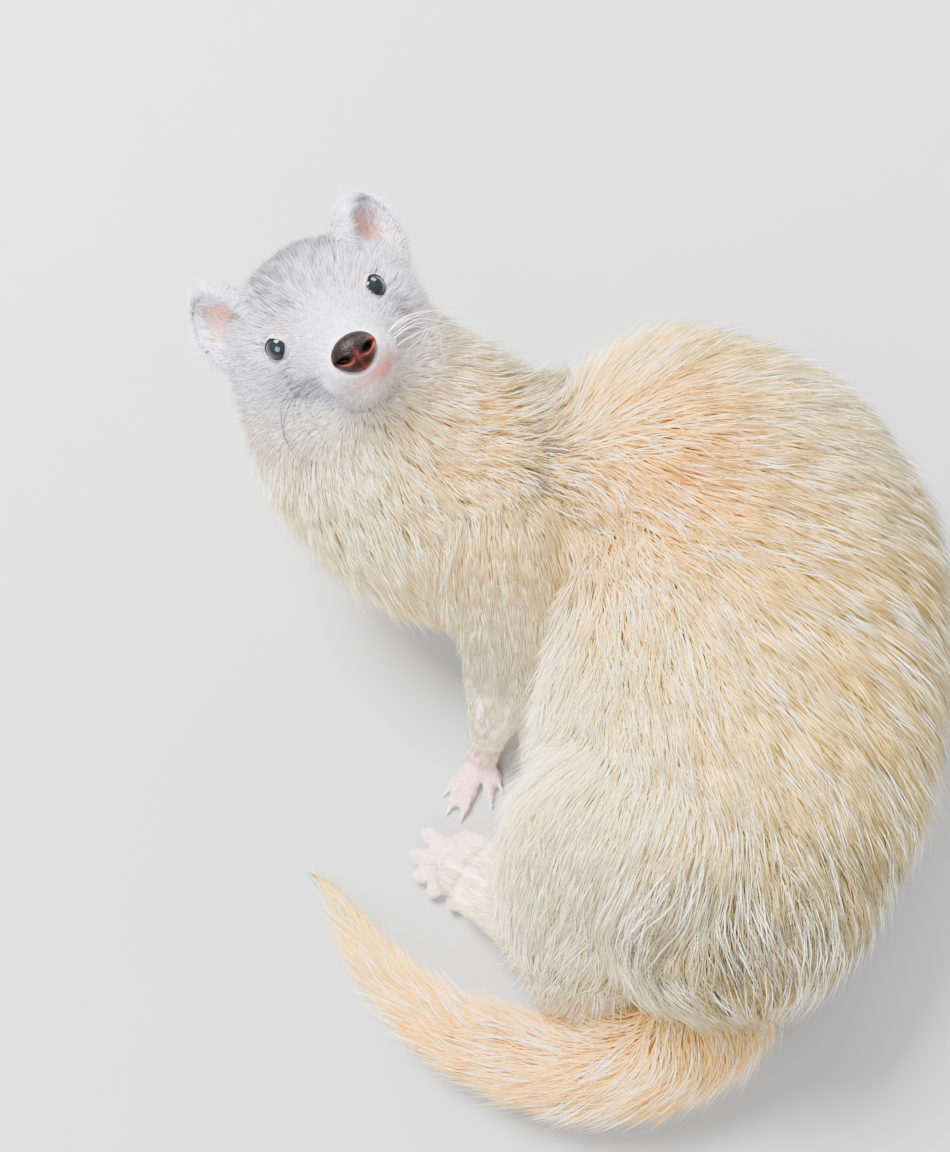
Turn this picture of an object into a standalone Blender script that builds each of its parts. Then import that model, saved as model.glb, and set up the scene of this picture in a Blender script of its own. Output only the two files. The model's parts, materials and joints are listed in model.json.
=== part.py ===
"""A life-size ferret, curled on its right side with its chest propped up and its head raised.

Units are metres and +Z is up. The sizes below are written in millimetres and scaled once by MM.
The floor is the plane z = 0. The animal's left flank faces up, its belly faces -X and its tail
lies in front of it, at -Y. The finished model is moved so that the middle of its footprint is
the origin.
"""

import math
import random

import bmesh
import bpy
from mathutils import Matrix, Vector
from mathutils.bvhtree import BVHTree

MM = 0.001
GAP = 0.35
FLOOR_PRESS = 1.2

# Stations of the body's tubes. Each is the centre's x, y and z, half the width across,
# half the height, and the depth of the coat there.
NECK = [
    (-41, 57, 80.0, 28, 28, 0),
    (-38, 51, 72.0, 32, 32, 3),
    (-26, 36, 62.0, 39, 37, 9),
    (-9, 23, 54.0, 41.5, 39, 12),
    (13, 18, 49.0, 39, 41, 13),
    (36, 14, 47.0, 40, 42, 13),
]
TRUNK = [
    (36, 24.5, 46.5, 37, 43, 13),
    (46, 23.5, 47.0, 45.5, 47, 14),
    (56, 21.5, 47.0, 53, 48, 14),
    (66, 12.5, 47.0, 60, 48, 14),
    (72.5, -3, 47.0, 62, 48, 14),
    (73.8, -21, 47.0, 60.5, 48, 14),
    (72, -42, 47.0, 59, 48, 14),
    (69, -63, 46.0, 56, 47, 14),
    (67.0, -82, 44.0, 53, 45, 14),
    (68, -98.5, 41.0, 43.5, 41, 14),
    (68.5, -108, 36.5, 31.5, 33.5, 12),
]
TAIL = [
    (70, -94, 36.0, 26, 26, 12),
    (72.5, -106.5, 30.0, 18.5, 20, 11),
    (70, -117, 24.0, 15.5, 17.5, 10),
    (61.5, -126.5, 19.5, 15.2, 16.8, 9),
    (48.5, -133.0, 17.0, 14.8, 16.2, 9),
    (33, -135.8, 16.0, 13.8, 15.2, 9),
    (15, -133.5, 14.5, 12.4, 13.8, 8),
    (-1.5, -128.0, 12.5, 10.6, 12, 8),
    (-17.0, -117.5, 10.0, 8.4, 9.4, 7),
    (-29.5, -104, 7.0, 5.8, 6.4, 5),
    (-38.5, -90.8, 4.0, 3.0, 3.4, 3),
    (-44.5, -81, 2.2, 1.0, 1.2, 1),
]
FORELEG_LEFT = [
    (8, 2, 66.0, 22, 23, 8),
    (9, -13, 56.0, 17.5, 18, 3),
    (8.5, -23, 42.0, 13, 13.5, 0),
    (7, -34, 28.0, 9.6, 9.8, 0),
    (4.4, -39.5, 16.5, 7.0, 7.0, 0),
    (2.6, -44, 9.5, 6.2, 5.4, 0),
]
FORELEG_RIGHT = [
    (-1, 11, 26.0, 19, 19, 4),
    (18, -6, 17.0, 14, 14, 2),
    (21, -23, 11.0, 9.5, 9.5, 0),
    (20, -36, 8.5, 7.2, 7.2, 0),
    (19.5, -42, 7.0, 6.4, 5.2, 0),
]
HINDLEG_LEFT = [
    (57, -90, 60.0, 32, 30, 12),
    (36, -80, 57.0, 28, 28, 11),
    (29, -89, 44.0, 25, 24, 9),
    (30, -101, 28.0, 22, 20, 6),
    (12, -90, 16.0, 13, 12, 0),
    (1, -82, 11.0, 11, 8, 0),
]
HINDLEG_RIGHT = [
    (60, -87, 30.0, 30, 26, 8),
    (47, -84, 18.0, 19, 16, 3),
    (38.5, -79.5, 10.0, 10, 9.5, 0),
    (30, -76, 7.0, 8, 6.6, 0),
    (22, -74.5, 6.0, 7.0, 5.0, 0),
]

# The head's own frame: x towards the nose, y to the animal's left, z to its crown.
# Its origin lies midway between the eyes.
HEAD_AT = Vector((-39.8, 48.6, 104.0))
HEAD_FORWARD = Vector((0.077, -0.494, 0.866))
HEAD_LEFT = Vector((0.843, 0.494, 0.207))
HEAD_YAW = 3.0
SKULL = [
    ((-23, 0, 3.0), (26.5, 26, 20.5)),
    ((-18, 13.5, -6), (20, 15.5, 17)),
    ((-18, -13.5, -6), (20, 15.5, 17)),
    ((-6, 8.5, -8.5), (15, 10.5, 12)),
    ((-6, -8.5, -8.5), (15, 10.5, 12)),
    ((15, 5.5, -14.5), (8.5, 6.5, 5.5)),
    ((15, -5.5, -14.5), (8.5, 6.5, 5.5)),
    ((-8, 0, -17), (17, 15.5, 12)),
    ((-16, 0, -17), (20, 23, 17)),
    ((-22, 19, 3), (14, 10.5, 12)),
    ((-22, -19, 3), (14, 10.5, 12)),
]
MUZZLE = [
    (-10, 0, -3, 21, 18, 4),
    (0, 0, -6, 16.5, 14.5, 3),
    (8, 0, -9, 13.5, 11.5, 2),
    (16, 0, -11.5, 11.3, 9.3, 1.5),
    (22, 0, -12.5, 9.5, 7.8, 1),
    (26, 0, -12.5, 6.5, 5.8, 1),
]
JAW = [
    (-14, 0, -18.5, 15.0, 10.0, 0),
    (-2, 0, -19.5, 11.5, 8.0, 0),
    (8, 0, -20.0, 8.4, 5.6, 0),
    (15, 0, -19.6, 6.0, 4.2, 0),
    (19.5, 0, -18.8, 4.0, 3.2, 0),
]
EYE_AT = (-2.6, 14.4, 0.3)
EYE_RADIUS = 4.1
GAZE = Vector((0.8, 0.6, 0.05))
LID_AHEAD = 2.2
LID_RING = 3.7
LID_THICK = 0.9
SOCKET_AHEAD = 7.0
SOCKET_RADIUS = 6.6
NOSE_AT = (26.5, 0, -11.0)
NOSE_RADII = (4.0, 6.0, 4.7)
NOSTRIL_AT = (30.2, 3.3, -11.6)
NOSTRIL_RADII = (2.2, 1.3, 1.5)
MOUTH = [
    (6, 12, -17.5),
    (12, 11, -18.2),
    (17.5, 8.5, -18.6),
    (21.5, 5, -18.4),
    (23.5, 1.6, -17.4),
    (23.5, 0, -16.8),
]
MOUTH_DEPTH = 0.9
LIP_BELOW = 1.7
LIP_THICK = 0.9
EAR_AT = (-20, 23.0, 12.0)
EAR_YAW = 42.0
EAR_ROLL = 12.0
EAR_RADII = (6.0, 10.0, 12.0)
EAR_HOLLOW_AT = 4.6
EAR_HOLLOW = (6.3, 7.9, 9.6)

# Each paw's palm, and the place of each claw's tip.
FOREPAW_LEFT = {
    "palm": (2.8, -44.8, 6.8),
    "size": (7.6, 8.6, 5.0),
    "tips": [
        (-9.8, -55.3, 1.6),
        (-8.8, -61.2, 1.6),
        (-4.4, -63.4, 1.6),
        (4.9, -59.8, 1.6),
        (8.4, -54.6, 1.8),
    ],
    "thick": 2.3,
    "claw": 4.0,
    "triangles": 900,
}
FOREPAW_RIGHT = {
    "palm": (19.5, -46, 5.6),
    "size": (7.6, 7.6, 4.8),
    "tips": [
        (27.5, -52, 1.5),
        (25, -58, 1.5),
        (21, -60.5, 1.5),
        (17, -60, 1.5),
        (13.8, -56, 1.5),
    ],
    "thick": 2.2,
    "claw": 3.6,
    "triangles": 420,
}
HINDPAW_LEFT = {
    "palm": (-3.6, -77.8, 8.8),
    "size": (11.0, 11.0, 7.2),
    "tips": [
        (-15, -66.8, 4.0),
        (-18.8, -73.6, 3.0),
        (-18.0, -79.8, 2.6),
        (-13.6, -85.2, 2.4),
        (-7, -90.0, 2.4),
    ],
    "thick": 3.1,
    "claw": 2.6,
    "triangles": 850,
}
HINDPAW_RIGHT = {
    "palm": (19, -73.5, 5.2),
    "size": (8.5, 6.6, 4.4),
    "tips": [
        (14.5, -64, 1.6),
        (10.5, -66.5, 1.5),
        (8.6, -70.8, 1.5),
        (9.2, -75.5, 1.5),
        (12.5, -79.5, 1.6),
    ],
    "thick": 2.3,
    "claw": 2.6,
    "triangles": 420,
}
CLAW_RADIUS = 0.9

PART_WORDS = {
    "fore_left": ("forearm_left", "forepaw_left"),
    "fore_right": ("forearm_right", "forepaw_right"),
    "hind_left": ("shank_left", "hindpaw_left"),
    "hind_right": ("shank_right", "hindpaw_right"),
}

# Locks of the coat. The core lies inside the tips by this share of the coat's depth, and the
# tips stand proud of the coat. A lock has its full size where the coat is "full" deep, and its
# length and width are varied. LOCK_SHAPE has the share of its length, width and ridge by row.
CORE_INSET = 0.5
TIP_PROUD = 2.0
SEED = 13
TRIES = 6000
BODY_LOCKS = {"spacing": 21.0, "length": 33.0, "width": 19.0, "thick": 4.8, "sweep": 0.4, "full": 12}
TAIL_LOCKS = {"spacing": 15.0, "length": 25.0, "width": 12.0, "thick": 3.8, "sweep": 0.08, "full": 9}
SHORTEST = 0.5
ROOT_SUNK = 3.4
VARIED = (0.85, 1.15)
TURN = 0.25
BEND = 0.35
RISE = 0.75
STEPS = 3
LOCK_SHAPE = ((0.0, 0.75, 0.4), (0.36, 1.0, 1.0), (0.74, 0.7, 0.8))
SHORT_COAT = 5.0
UNDERSIDE = -0.5
HEAD_CLEAR = 2.0
TIP_CLEAR = 14.0

# Where the body is parted: each cut's place along its tube, from 0 to 1, and how far the disc
# that makes it reaches. The head's disc has its middle and direction in the head's frame. The
# arm is parted by its own tube made wider, and the thigh by a cup: its place, direction, radius
# and length.
HEAD_CUT_AT = (-24, 0, -19)
HEAD_CUT_FACES = (0.45, 0, 0.89)
ARM_EXTRA = 3.0
THIGH_CUP = ((52, -83, 46), (0.0, 0.0, 1.0), 25, 60)
CHEST_CUT = (0.64, 62)
LOIN_CUT = (0.42, 95)
RUMP_CUT = (0.72, 90)
HEAD_CUT_REACH = 60
TAIL_CUTS = ((0.18, 45), (0.5, 24), (0.74, 20))
LEG_CUTS = {
    "fore_left": ((0.28, 30), (0.8, 14)),
    "fore_right": ((0.25, 30), (0.8, 14)),
    "hind_left": ((0.3, 30), (0.74, 20)),
    "hind_right": ((0.36, 30), (0.8, 14)),
}

# How each skin is fused: the voxel, the rounds of smoothing and the triangles kept.
HEAD_SKIN = (1.2, 20, 1700)
BODY_SKIN = (2.2, 8, 1800)
TAIL_SKIN = (1.6, 4, 500)
PAW_SKIN = (0.65, 6)
SLEEVE_SKIN = (2.0, 4, 260)

COLOURS = {
    "coat": ((0.83, 0.74, 0.55), 0.85),
    "head_coat": ((0.86, 0.85, 0.84), 0.85),
    "skin": ((0.84, 0.62, 0.60), 0.6),
    "nose": ((0.16, 0.08, 0.08), 0.35),
    "eye": ((0.01, 0.012, 0.014), 0.08),
}


def clear_scene():
    """Removes every object that the file opened with."""
    for obj in list(bpy.data.objects):
        bpy.data.objects.remove(obj)


def material(name):
    """The named finish, made once."""
    found = bpy.data.materials.get(name)
    if found:
        return found
    colour, roughness = COLOURS[name]
    made = bpy.data.materials.new(name)
    made.use_nodes = True
    shader = made.node_tree.nodes["Principled BSDF"]
    shader.inputs["Base Color"].default_value = (*colour, 1.0)
    shader.inputs["Roughness"].default_value = roughness
    shader.inputs["Metallic"].default_value = 0.0
    return made


def add_object(name, mesh, collection):
    """A new object of this mesh in the collection."""
    obj = bpy.data.objects.new(name, mesh)
    collection.objects.link(obj)
    return obj


def mesh_of(name, shape):
    """A mesh made from a bmesh, which is freed."""
    bmesh.ops.recalc_face_normals(shape, faces=shape.faces)
    mesh = bpy.data.meshes.new(name)
    shape.to_mesh(mesh)
    shape.free()
    return mesh


def curve_value(p, q, r, s, u):
    """The smooth curve's value at u from q to r, with p before them and s after."""
    bend = 2 * p - 5 * q + 4 * r - s
    twist = 3 * q - p - 3 * r + s
    return 0.5 * (2 * q + (r - p) * u + bend * u ** 2 + twist * u ** 3)


def along(stations, t):
    """The smooth curve through the stations at t from 0 to 1, in all their numbers."""
    last = len(stations) - 1
    place = min(max(t, 0.0), 1.0) * last
    i = min(int(place), last - 1)
    u = place - i
    a = stations[max(i - 1, 0)]
    b, c = stations[i], stations[i + 1]
    d = stations[min(i + 2, last)]
    return [curve_value(p, q, r, s, u) for p, q, r, s in zip(a, b, c, d)]


def heading(stations, t):
    """The direction of the tube at t."""
    step = 0.01
    behind = Vector(along(stations, t - step)[:3])
    ahead = Vector(along(stations, t + step)[:3])
    return (ahead - behind).normalized()


def ring_axes(direction):
    """The sideways and upright directions of a tube's section."""
    side = direction.cross(Vector((0, 0, 1)))
    side = side.normalized() if side.length > 1e-3 else Vector((1, 0, 0))
    return side, side.cross(direction).normalized()


def tube(
    name,
    stations,
    collection,
    shrink=0.0,
    grow=0.0,
    sides=28,
    steps=5,
    frame=None,
    bulge=0.8,
    lies=False,
):
    """A closed tube through the stations with rounded ends.

    shrink is the share of the coat's depth that the surface lies inside the tips, grow adds to
    every radius, and bulge is how far an end rounds out, as a share of its smaller radius. Where
    the tube lies on the floor the coat is pressed flat, so the inset is all taken from above.
    """
    shape = bmesh.new()
    rows = []
    count = steps * (len(stations) - 1)
    cap_steps = 4
    placed = []
    for i in range(count + 1):
        t = i / count
        x, y, z, wide, tall, coat = along(stations, t)
        inset = shrink * coat - grow
        sunk = inset / 2 if lies else 0.0
        middle = Vector((x, y, z - sunk))
        placed.append((middle, heading(stations, t), wide - inset, tall - inset + sunk))

    def cap(centre, direction, wide, tall):
        for k in range(1, cap_steps):
            angle = math.pi / 2 * k / cap_steps
            reach = bulge * min(wide, tall) * math.sin(angle)
            yield centre + direction * reach, wide * math.cos(angle), tall * math.cos(angle)

    first, last = placed[0], placed[-1]
    sections = [(p, first[1], w, h) for p, w, h in cap(first[0], -first[1], first[2], first[3])][::-1]
    sections += placed
    sections += [(p, last[1], w, h) for p, w, h in cap(last[0], last[1], last[2], last[3])]
    for centre, direction, wide, tall in sections:
        side, upright = ring_axes(direction)
        row = []
        for k in range(sides):
            angle = 2 * math.pi * k / sides
            point = centre + side * wide * math.cos(angle) + upright * tall * math.sin(angle)
            row.append(shape.verts.new(point))
        rows.append(row)
    for low, high in zip(rows, rows[1:]):
        for k in range(sides):
            shape.faces.new((low[k], low[(k + 1) % sides], high[(k + 1) % sides], high[k]))
    shape.faces.new(rows[0])
    shape.faces.new(rows[-1])
    if frame:
        bmesh.ops.transform(shape, matrix=frame, verts=shape.verts)
    return add_object(name, mesh_of(name, shape), collection)


def ball(name, centre, radii, collection, frame=None, turn=None, segments=24):
    """An ellipsoid, in the head's frame if one is given."""
    shape = bmesh.new()
    rings = max(6, segments * 2 // 3)
    bmesh.ops.create_uvsphere(shape, u_segments=segments, v_segments=rings, radius=1.0)
    place = Matrix.Translation(Vector(centre)) @ (turn or Matrix.Identity(4))
    place = place @ Matrix.Diagonal((*radii, 1.0))
    bmesh.ops.transform(shape, matrix=(frame or Matrix.Identity(4)) @ place, verts=shape.verts)
    return add_object(name, mesh_of(name, shape), collection)


def bake(obj):
    """Replaces the object's mesh by the evaluated one and drops its modifiers."""
    graph = bpy.context.evaluated_depsgraph_get()
    graph.update()
    mesh = bpy.data.meshes.new_from_object(obj.evaluated_get(graph))
    obj.modifiers.clear()
    obj.data = mesh
    return obj


def keep_largest(obj):
    """Drops every loose scrap but the largest closed surface."""
    shape = bmesh.new()
    shape.from_mesh(obj.data)
    kept = max(loose_parts(shape), key=len)
    bmesh.ops.delete(shape, geom=[v for v in shape.verts if v not in kept], context="VERTS")
    shape.to_mesh(obj.data)
    shape.free()
    return obj


def fuse(name, pieces, collection, voxel, rounds, triangles):
    """One smooth skin over overlapping pieces, thinned to about this many triangles."""
    shape = bmesh.new()
    for piece in pieces:
        shape.from_mesh(piece.data)
    mesh = bpy.data.meshes.new(name)
    shape.to_mesh(mesh)
    shape.free()
    for piece in pieces:
        bpy.data.objects.remove(piece)
    obj = add_object(name, mesh, collection)
    remesh = obj.modifiers.new("skin", "REMESH")
    remesh.mode = "VOXEL"
    remesh.voxel_size = voxel
    smooth = obj.modifiers.new("ease", "SMOOTH")
    smooth.factor = 0.5
    smooth.iterations = rounds
    keep_largest(bake(obj))
    faces = 2 * len(obj.data.polygons)
    thin = obj.modifiers.new("thin", "DECIMATE")
    thin.ratio = min(1.0, triangles / faces)
    return bake(obj)


def volume(mesh):
    """The volume of a closed mesh, or None where an edge has not two faces."""
    shape = bmesh.new()
    shape.from_mesh(mesh)
    closed = len(shape.faces) > 3 and all(len(e.link_faces) == 2 for e in shape.edges)
    size = shape.calc_volume(signed=True) if closed else None
    shape.free()
    return size


def sound(result, before, tool, operation):
    """Whether the volume after a step lies where it must."""
    size = volume(result)
    if size is None:
        return False
    low, high = {
        "UNION": (max(before, tool), before + tool),
        "DIFFERENCE": (before - tool, before),
        "INTERSECT": (0.0, min(before, tool)),
    }[operation]
    slack = 0.002 * before + 0.5
    return low - slack <= size <= high + slack


def boolean(obj, others, operation):
    """Joins or cuts the object with each of the others in turn, by the first solver that works.

    On these thinned skins the exact solver loses some cuts, so the manifold one goes first and
    the volume that is left is tested.
    """
    for other in others:
        start = obj.data
        before = volume(start)
        tool = volume(other.data)
        for solver in ("MANIFOLD", "EXACT"):
            step = obj.modifiers.new("step", "BOOLEAN")
            step.operation = operation
            step.object = other
            step.solver = solver
            bake(obj)
            if before is None or tool is None or sound(obj.data, before, tool, operation):
                break
            if solver == "MANIFOLD":
                obj.data = start
    return obj


def swollen(obj, by, collection):
    """A cutter that stands proud of this object by a small gap."""
    shape = bmesh.new()
    shape.from_mesh(obj.data)
    shape.normal_update()
    moved = [v.co + v.normal * by for v in shape.verts]
    for vert, place in zip(shape.verts, moved):
        vert.co = place
    mesh = bpy.data.meshes.new(obj.name + "_swollen")
    shape.to_mesh(mesh)
    shape.free()
    return add_object(obj.name + "_swollen", mesh, collection)


def span(obj):
    """The lowest and highest corner of an object."""
    places = [v.co for v in obj.data.vertices]
    low = [min(p[i] for p in places) for i in range(3)]
    high = [max(p[i] for p in places) for i in range(3)]
    return low, high


def near(one, other):
    """Whether the boxes of two objects come within the gap of each other."""
    (low_a, high_a), (low_b, high_b) = span(one), span(other)
    return all(low_a[i] <= high_b[i] + GAP and low_b[i] <= high_a[i] + GAP for i in range(3))


def carve(obj, neighbours, cutters):
    """Cuts the object clear of its neighbours and keeps its largest piece."""
    tools = [swollen(n, GAP, cutters) for n in neighbours]
    boolean(obj, tools, "DIFFERENCE")
    for tool in tools:
        bpy.data.objects.remove(tool)
    return keep_largest(obj)


def standing(place, direction):
    """The matrix that moves the origin to a place and turns +Z to a direction."""
    turn = Vector(direction).normalized().to_track_quat("Z", "Y").to_matrix().to_4x4()
    return Matrix.Translation(Vector(place)) @ turn


def disc(place, direction, reach, collection):
    """A thin disc that parts one node from the next."""
    shape = bmesh.new()
    bmesh.ops.create_cone(shape, cap_ends=True, segments=48, radius1=reach, radius2=reach, depth=GAP)
    bmesh.ops.transform(shape, matrix=standing(place, direction), verts=shape.verts)
    return add_object("disc", mesh_of("disc", shape), collection)


def slab(stations, t, reach, collection):
    """A thin disc square across a tube at t."""
    return disc(along(stations, t)[:3], heading(stations, t), reach, collection)


def cup(place, direction, radius, length, collection):
    """A thin-walled cup that opens along the direction and parts what is in it from the rest."""
    half = GAP / 2
    profile = [
        (0, -half),
        (radius + half, -half),
        (radius + half, length),
        (radius - half, length),
        (radius - half, half),
        (0, half),
    ]
    shape = bmesh.new()
    verts = [shape.verts.new((r, 0, z)) for r, z in profile]
    edges = [shape.edges.new(pair) for pair in zip(verts, verts[1:])]
    bmesh.ops.spin(
        shape, geom=verts + edges, axis=(0, 0, 1), cent=(0, 0, 0), steps=26, angle=2 * math.pi
    )
    bmesh.ops.remove_doubles(shape, verts=shape.verts, dist=0.01)
    bmesh.ops.transform(shape, matrix=standing(place, direction), verts=shape.verts)
    return add_object("cup", mesh_of("cup", shape), collection)


def loose_parts(shape):
    """The sets of joined vertices of a bmesh."""
    left = set(shape.verts)
    parts = []
    while left:
        seed = left.pop()
        found = {seed}
        edge = [seed]
        while edge:
            vert = edge.pop()
            for link in vert.link_edges:
                other = link.other_vert(vert)
                if other in left:
                    left.remove(other)
                    found.add(other)
                    edge.append(other)
        parts.append(found)
    return parts


def holds(tree, point):
    """Whether a closed surface holds the point, by the number of walls above it."""
    walls = 0
    place = Vector(point)
    while True:
        hit = tree.ray_cast(place, Vector((0.01, 0.02, 1)))[0]
        if hit is None:
            return walls % 2 == 1
        walls += 1
        place = hit + Vector((0, 0, 1e-4))


def part(obj, tools, seeds, collection):
    """Cuts the object by the tools and names each piece by the seed point that it holds."""
    boolean(obj, tools, "DIFFERENCE")
    for tool in tools:
        bpy.data.objects.remove(tool)
    whole = bmesh.new()
    whole.from_mesh(obj.data)
    made = {}
    for group in loose_parts(whole):
        piece = bmesh.new()
        place = {v: piece.verts.new(v.co) for v in group}
        for face in whole.faces:
            if face.verts[0] in group:
                piece.faces.new([place[v] for v in face.verts])
        tree = BVHTree.FromBMesh(piece)
        name = next((n for n in seeds if n not in made and holds(tree, seeds[n])), None)
        if name:
            mesh = bpy.data.meshes.new(name)
            piece.to_mesh(mesh)
            made[name] = add_object(name, mesh, collection)
        piece.free()
    whole.free()
    bpy.data.objects.remove(obj)
    return made


def head_frame():
    """The matrix from the head's frame to the model's."""
    forward = HEAD_FORWARD.normalized()
    left = (HEAD_LEFT - forward * HEAD_LEFT.dot(forward)).normalized()
    crown = forward.cross(left)
    turn = Matrix((forward, left, crown)).transposed().to_4x4()
    return Matrix.Translation(HEAD_AT) @ turn @ Matrix.Rotation(math.radians(HEAD_YAW), 4, "Z")


def mirrored(point, side):
    """The point on the left (1) or right (-1) of the head."""
    return Vector((point[0], point[1] * side, point[2]))


def skull_pieces(frame, collection):
    """The balls and the muzzle that the head is made of."""
    pieces = [ball("skull", centre, radii, collection, frame) for centre, radii in SKULL]
    pieces.append(tube("muzzle", MUZZLE, collection, frame=frame))
    pieces.append(tube("jaw", JAW, collection, frame=frame))
    return pieces


def strand(name, points, radius, collection, frame, resolution=0):
    """A round cord through the points, as a closed mesh."""
    curve = bpy.data.curves.new(name, "CURVE")
    curve.dimensions = "3D"
    curve.bevel_depth = radius
    curve.bevel_resolution = resolution
    curve.use_fill_caps = True
    line = curve.splines.new("POLY")
    line.points.add(len(points) - 1)
    for point, place in zip(line.points, points):
        point.co = (*(frame @ Vector(place)), 1.0)
    cord = add_object(name, curve, collection)
    graph = bpy.context.evaluated_depsgraph_get()
    graph.update()
    mesh = bpy.data.meshes.new_from_object(cord.evaluated_get(graph))
    bpy.data.objects.remove(cord)
    shape = bmesh.new()
    shape.from_mesh(mesh)
    bmesh.ops.remove_doubles(shape, verts=shape.verts, dist=0.01)
    return add_object(name, mesh_of(name, shape), collection)


def on_skin(head, frame, points, below):
    """The nearest places of the head's skin to the points, in the head's frame."""
    shape = bmesh.new()
    shape.from_mesh(head.data)
    tree = BVHTree.FromBMesh(shape)
    shape.free()
    back = frame.inverted()
    return [back @ tree.find_nearest(frame @ Vector((x, y, z - below)))[0] for x, y, z in points]


def lid_ring(frame, side, collection):
    """The raised rim of both lids, round one eye."""
    axis = mirrored(GAZE, side).normalized()
    centre = mirrored(EYE_AT, side) + axis * LID_AHEAD
    across = axis.cross(Vector((0, 0, 1))).normalized()
    upright = across.cross(axis)
    points = []
    turns = 12
    for k in range(turns + 1):
        angle = 2 * math.pi * k / turns
        width = LID_RING * math.cos(angle)
        height = LID_RING * 0.86 * math.sin(angle)
        points.append(centre + across * width + upright * height)
    return strand("lid", points, LID_THICK, collection, frame)


def make_eye(name, frame, side, collection):
    """One eyeball."""
    eye = ball(name, mirrored(EYE_AT, side), (EYE_RADIUS,) * 3, collection, frame, segments=12)
    eye.data.materials.append(material("eye"))
    return eye


def ear_turn(side):
    """How one ear's cup is turned in the head's frame."""
    yaw = Matrix.Rotation(math.radians(EAR_YAW * side), 4, "Z")
    return yaw @ Matrix.Rotation(math.radians(-EAR_ROLL * side), 4, "X")


def make_ear(name, frame, side, collection, cutters):
    """One ear: a round cup with its hollow facing forwards and out."""
    at = mirrored(EAR_AT, side)
    turn = ear_turn(side)
    ear = ball(name, at, EAR_RADII, collection, frame, turn, segments=12)
    hollow_at = at + (turn @ Vector((EAR_HOLLOW_AT, 0, 0.8)))
    hollow = ball("hollow", hollow_at, EAR_HOLLOW, cutters, frame, turn, segments=12)
    boolean(ear, [hollow], "DIFFERENCE")
    bpy.data.objects.remove(hollow)
    ear.data.materials.append(material("head_coat"))
    return ear


def make_nose(frame, collection, cutters):
    """The nose leather with its two nostrils."""
    nose = ball("nose", NOSE_AT, NOSE_RADII, collection, frame, segments=12)
    for side in (1, -1):
        at = mirrored(NOSTRIL_AT, side)
        hole = ball("nostril", at, NOSTRIL_RADII, cutters, frame, segments=8)
        boolean(nose, [hole], "DIFFERENCE")
        bpy.data.objects.remove(hole)
    nose.data.materials.append(material("nose"))
    return nose


def head_cut(frame, cutters):
    """The disc that parts the head from the neck."""
    place = frame @ Vector(HEAD_CUT_AT)
    return disc(place, frame.to_3x3() @ Vector(HEAD_CUT_FACES), HEAD_CUT_REACH, cutters)


def set_eyes(head, frame, collection, cutters):
    """Sinks a socket for each eye, puts the rim of the lids round it and makes the eyeball."""
    eyes = []
    for side, word in ((1, "left"), (-1, "right")):
        socket_at = mirrored(EYE_AT, side) + mirrored(GAZE, side).normalized() * SOCKET_AHEAD
        socket = ball("socket", socket_at, (SOCKET_RADIUS,) * 3, cutters, frame, segments=12)
        boolean(head, [socket], "DIFFERENCE")
        lids = lid_ring(frame, side, cutters)
        boolean(head, [lids], "UNION")
        bpy.data.objects.remove(socket)
        bpy.data.objects.remove(lids)
        eyes.append(make_eye(f"eye_{word}", frame, side, collection))
    return eyes


def draw_mouth(head, frame, cutters):
    """Lays the lower lip on the head and sinks the line of the mouth above it."""
    line = MOUTH + [mirrored(p, -1) for p in MOUTH[-2::-1]]
    lip = strand("lip", on_skin(head, frame, line, LIP_BELOW), LIP_THICK, cutters, frame)
    groove = strand("groove", on_skin(head, frame, line, 0.0), MOUTH_DEPTH, cutters, frame)
    boolean(head, [lip], "UNION")
    boolean(head, [groove], "DIFFERENCE")
    bpy.data.objects.remove(lip)
    bpy.data.objects.remove(groove)


def make_head(frame, collection, cutters):
    """The head with its lids, lips and mouth line, and the nodes set into it."""
    pieces = skull_pieces(frame, cutters)
    pieces.append(tube("nape", NECK[:4], cutters, shrink=CORE_INSET))
    whole = fuse("head_whole", pieces, cutters, *HEAD_SKIN)
    seeds = {"head": frame @ Vector(MUZZLE[0][:3]), "spare": NECK[3][:3]}
    made = part(whole, [head_cut(frame, cutters)], seeds, collection)
    head = made["head"]
    bpy.data.objects.remove(made["spare"])
    eyes = set_eyes(head, frame, collection, cutters)
    draw_mouth(head, frame, cutters)
    set_in = [ball("nose_ball", NOSE_AT, NOSE_RADII, cutters, frame, segments=12)]
    for side in (1, -1):
        at = mirrored(EAR_AT, side)
        set_in.append(ball("cup", at, EAR_RADII, cutters, frame, ear_turn(side), 12))
    carve(head, eyes + set_in, cutters)
    for tool in set_in:
        bpy.data.objects.remove(tool)
    make_nose(frame, collection, cutters)
    for side, word in ((1, "left"), (-1, "right")):
        make_ear(f"ear_{word}", frame, side, collection, cutters)
    head.data.materials.append(material("head_coat"))
    return head


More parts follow.
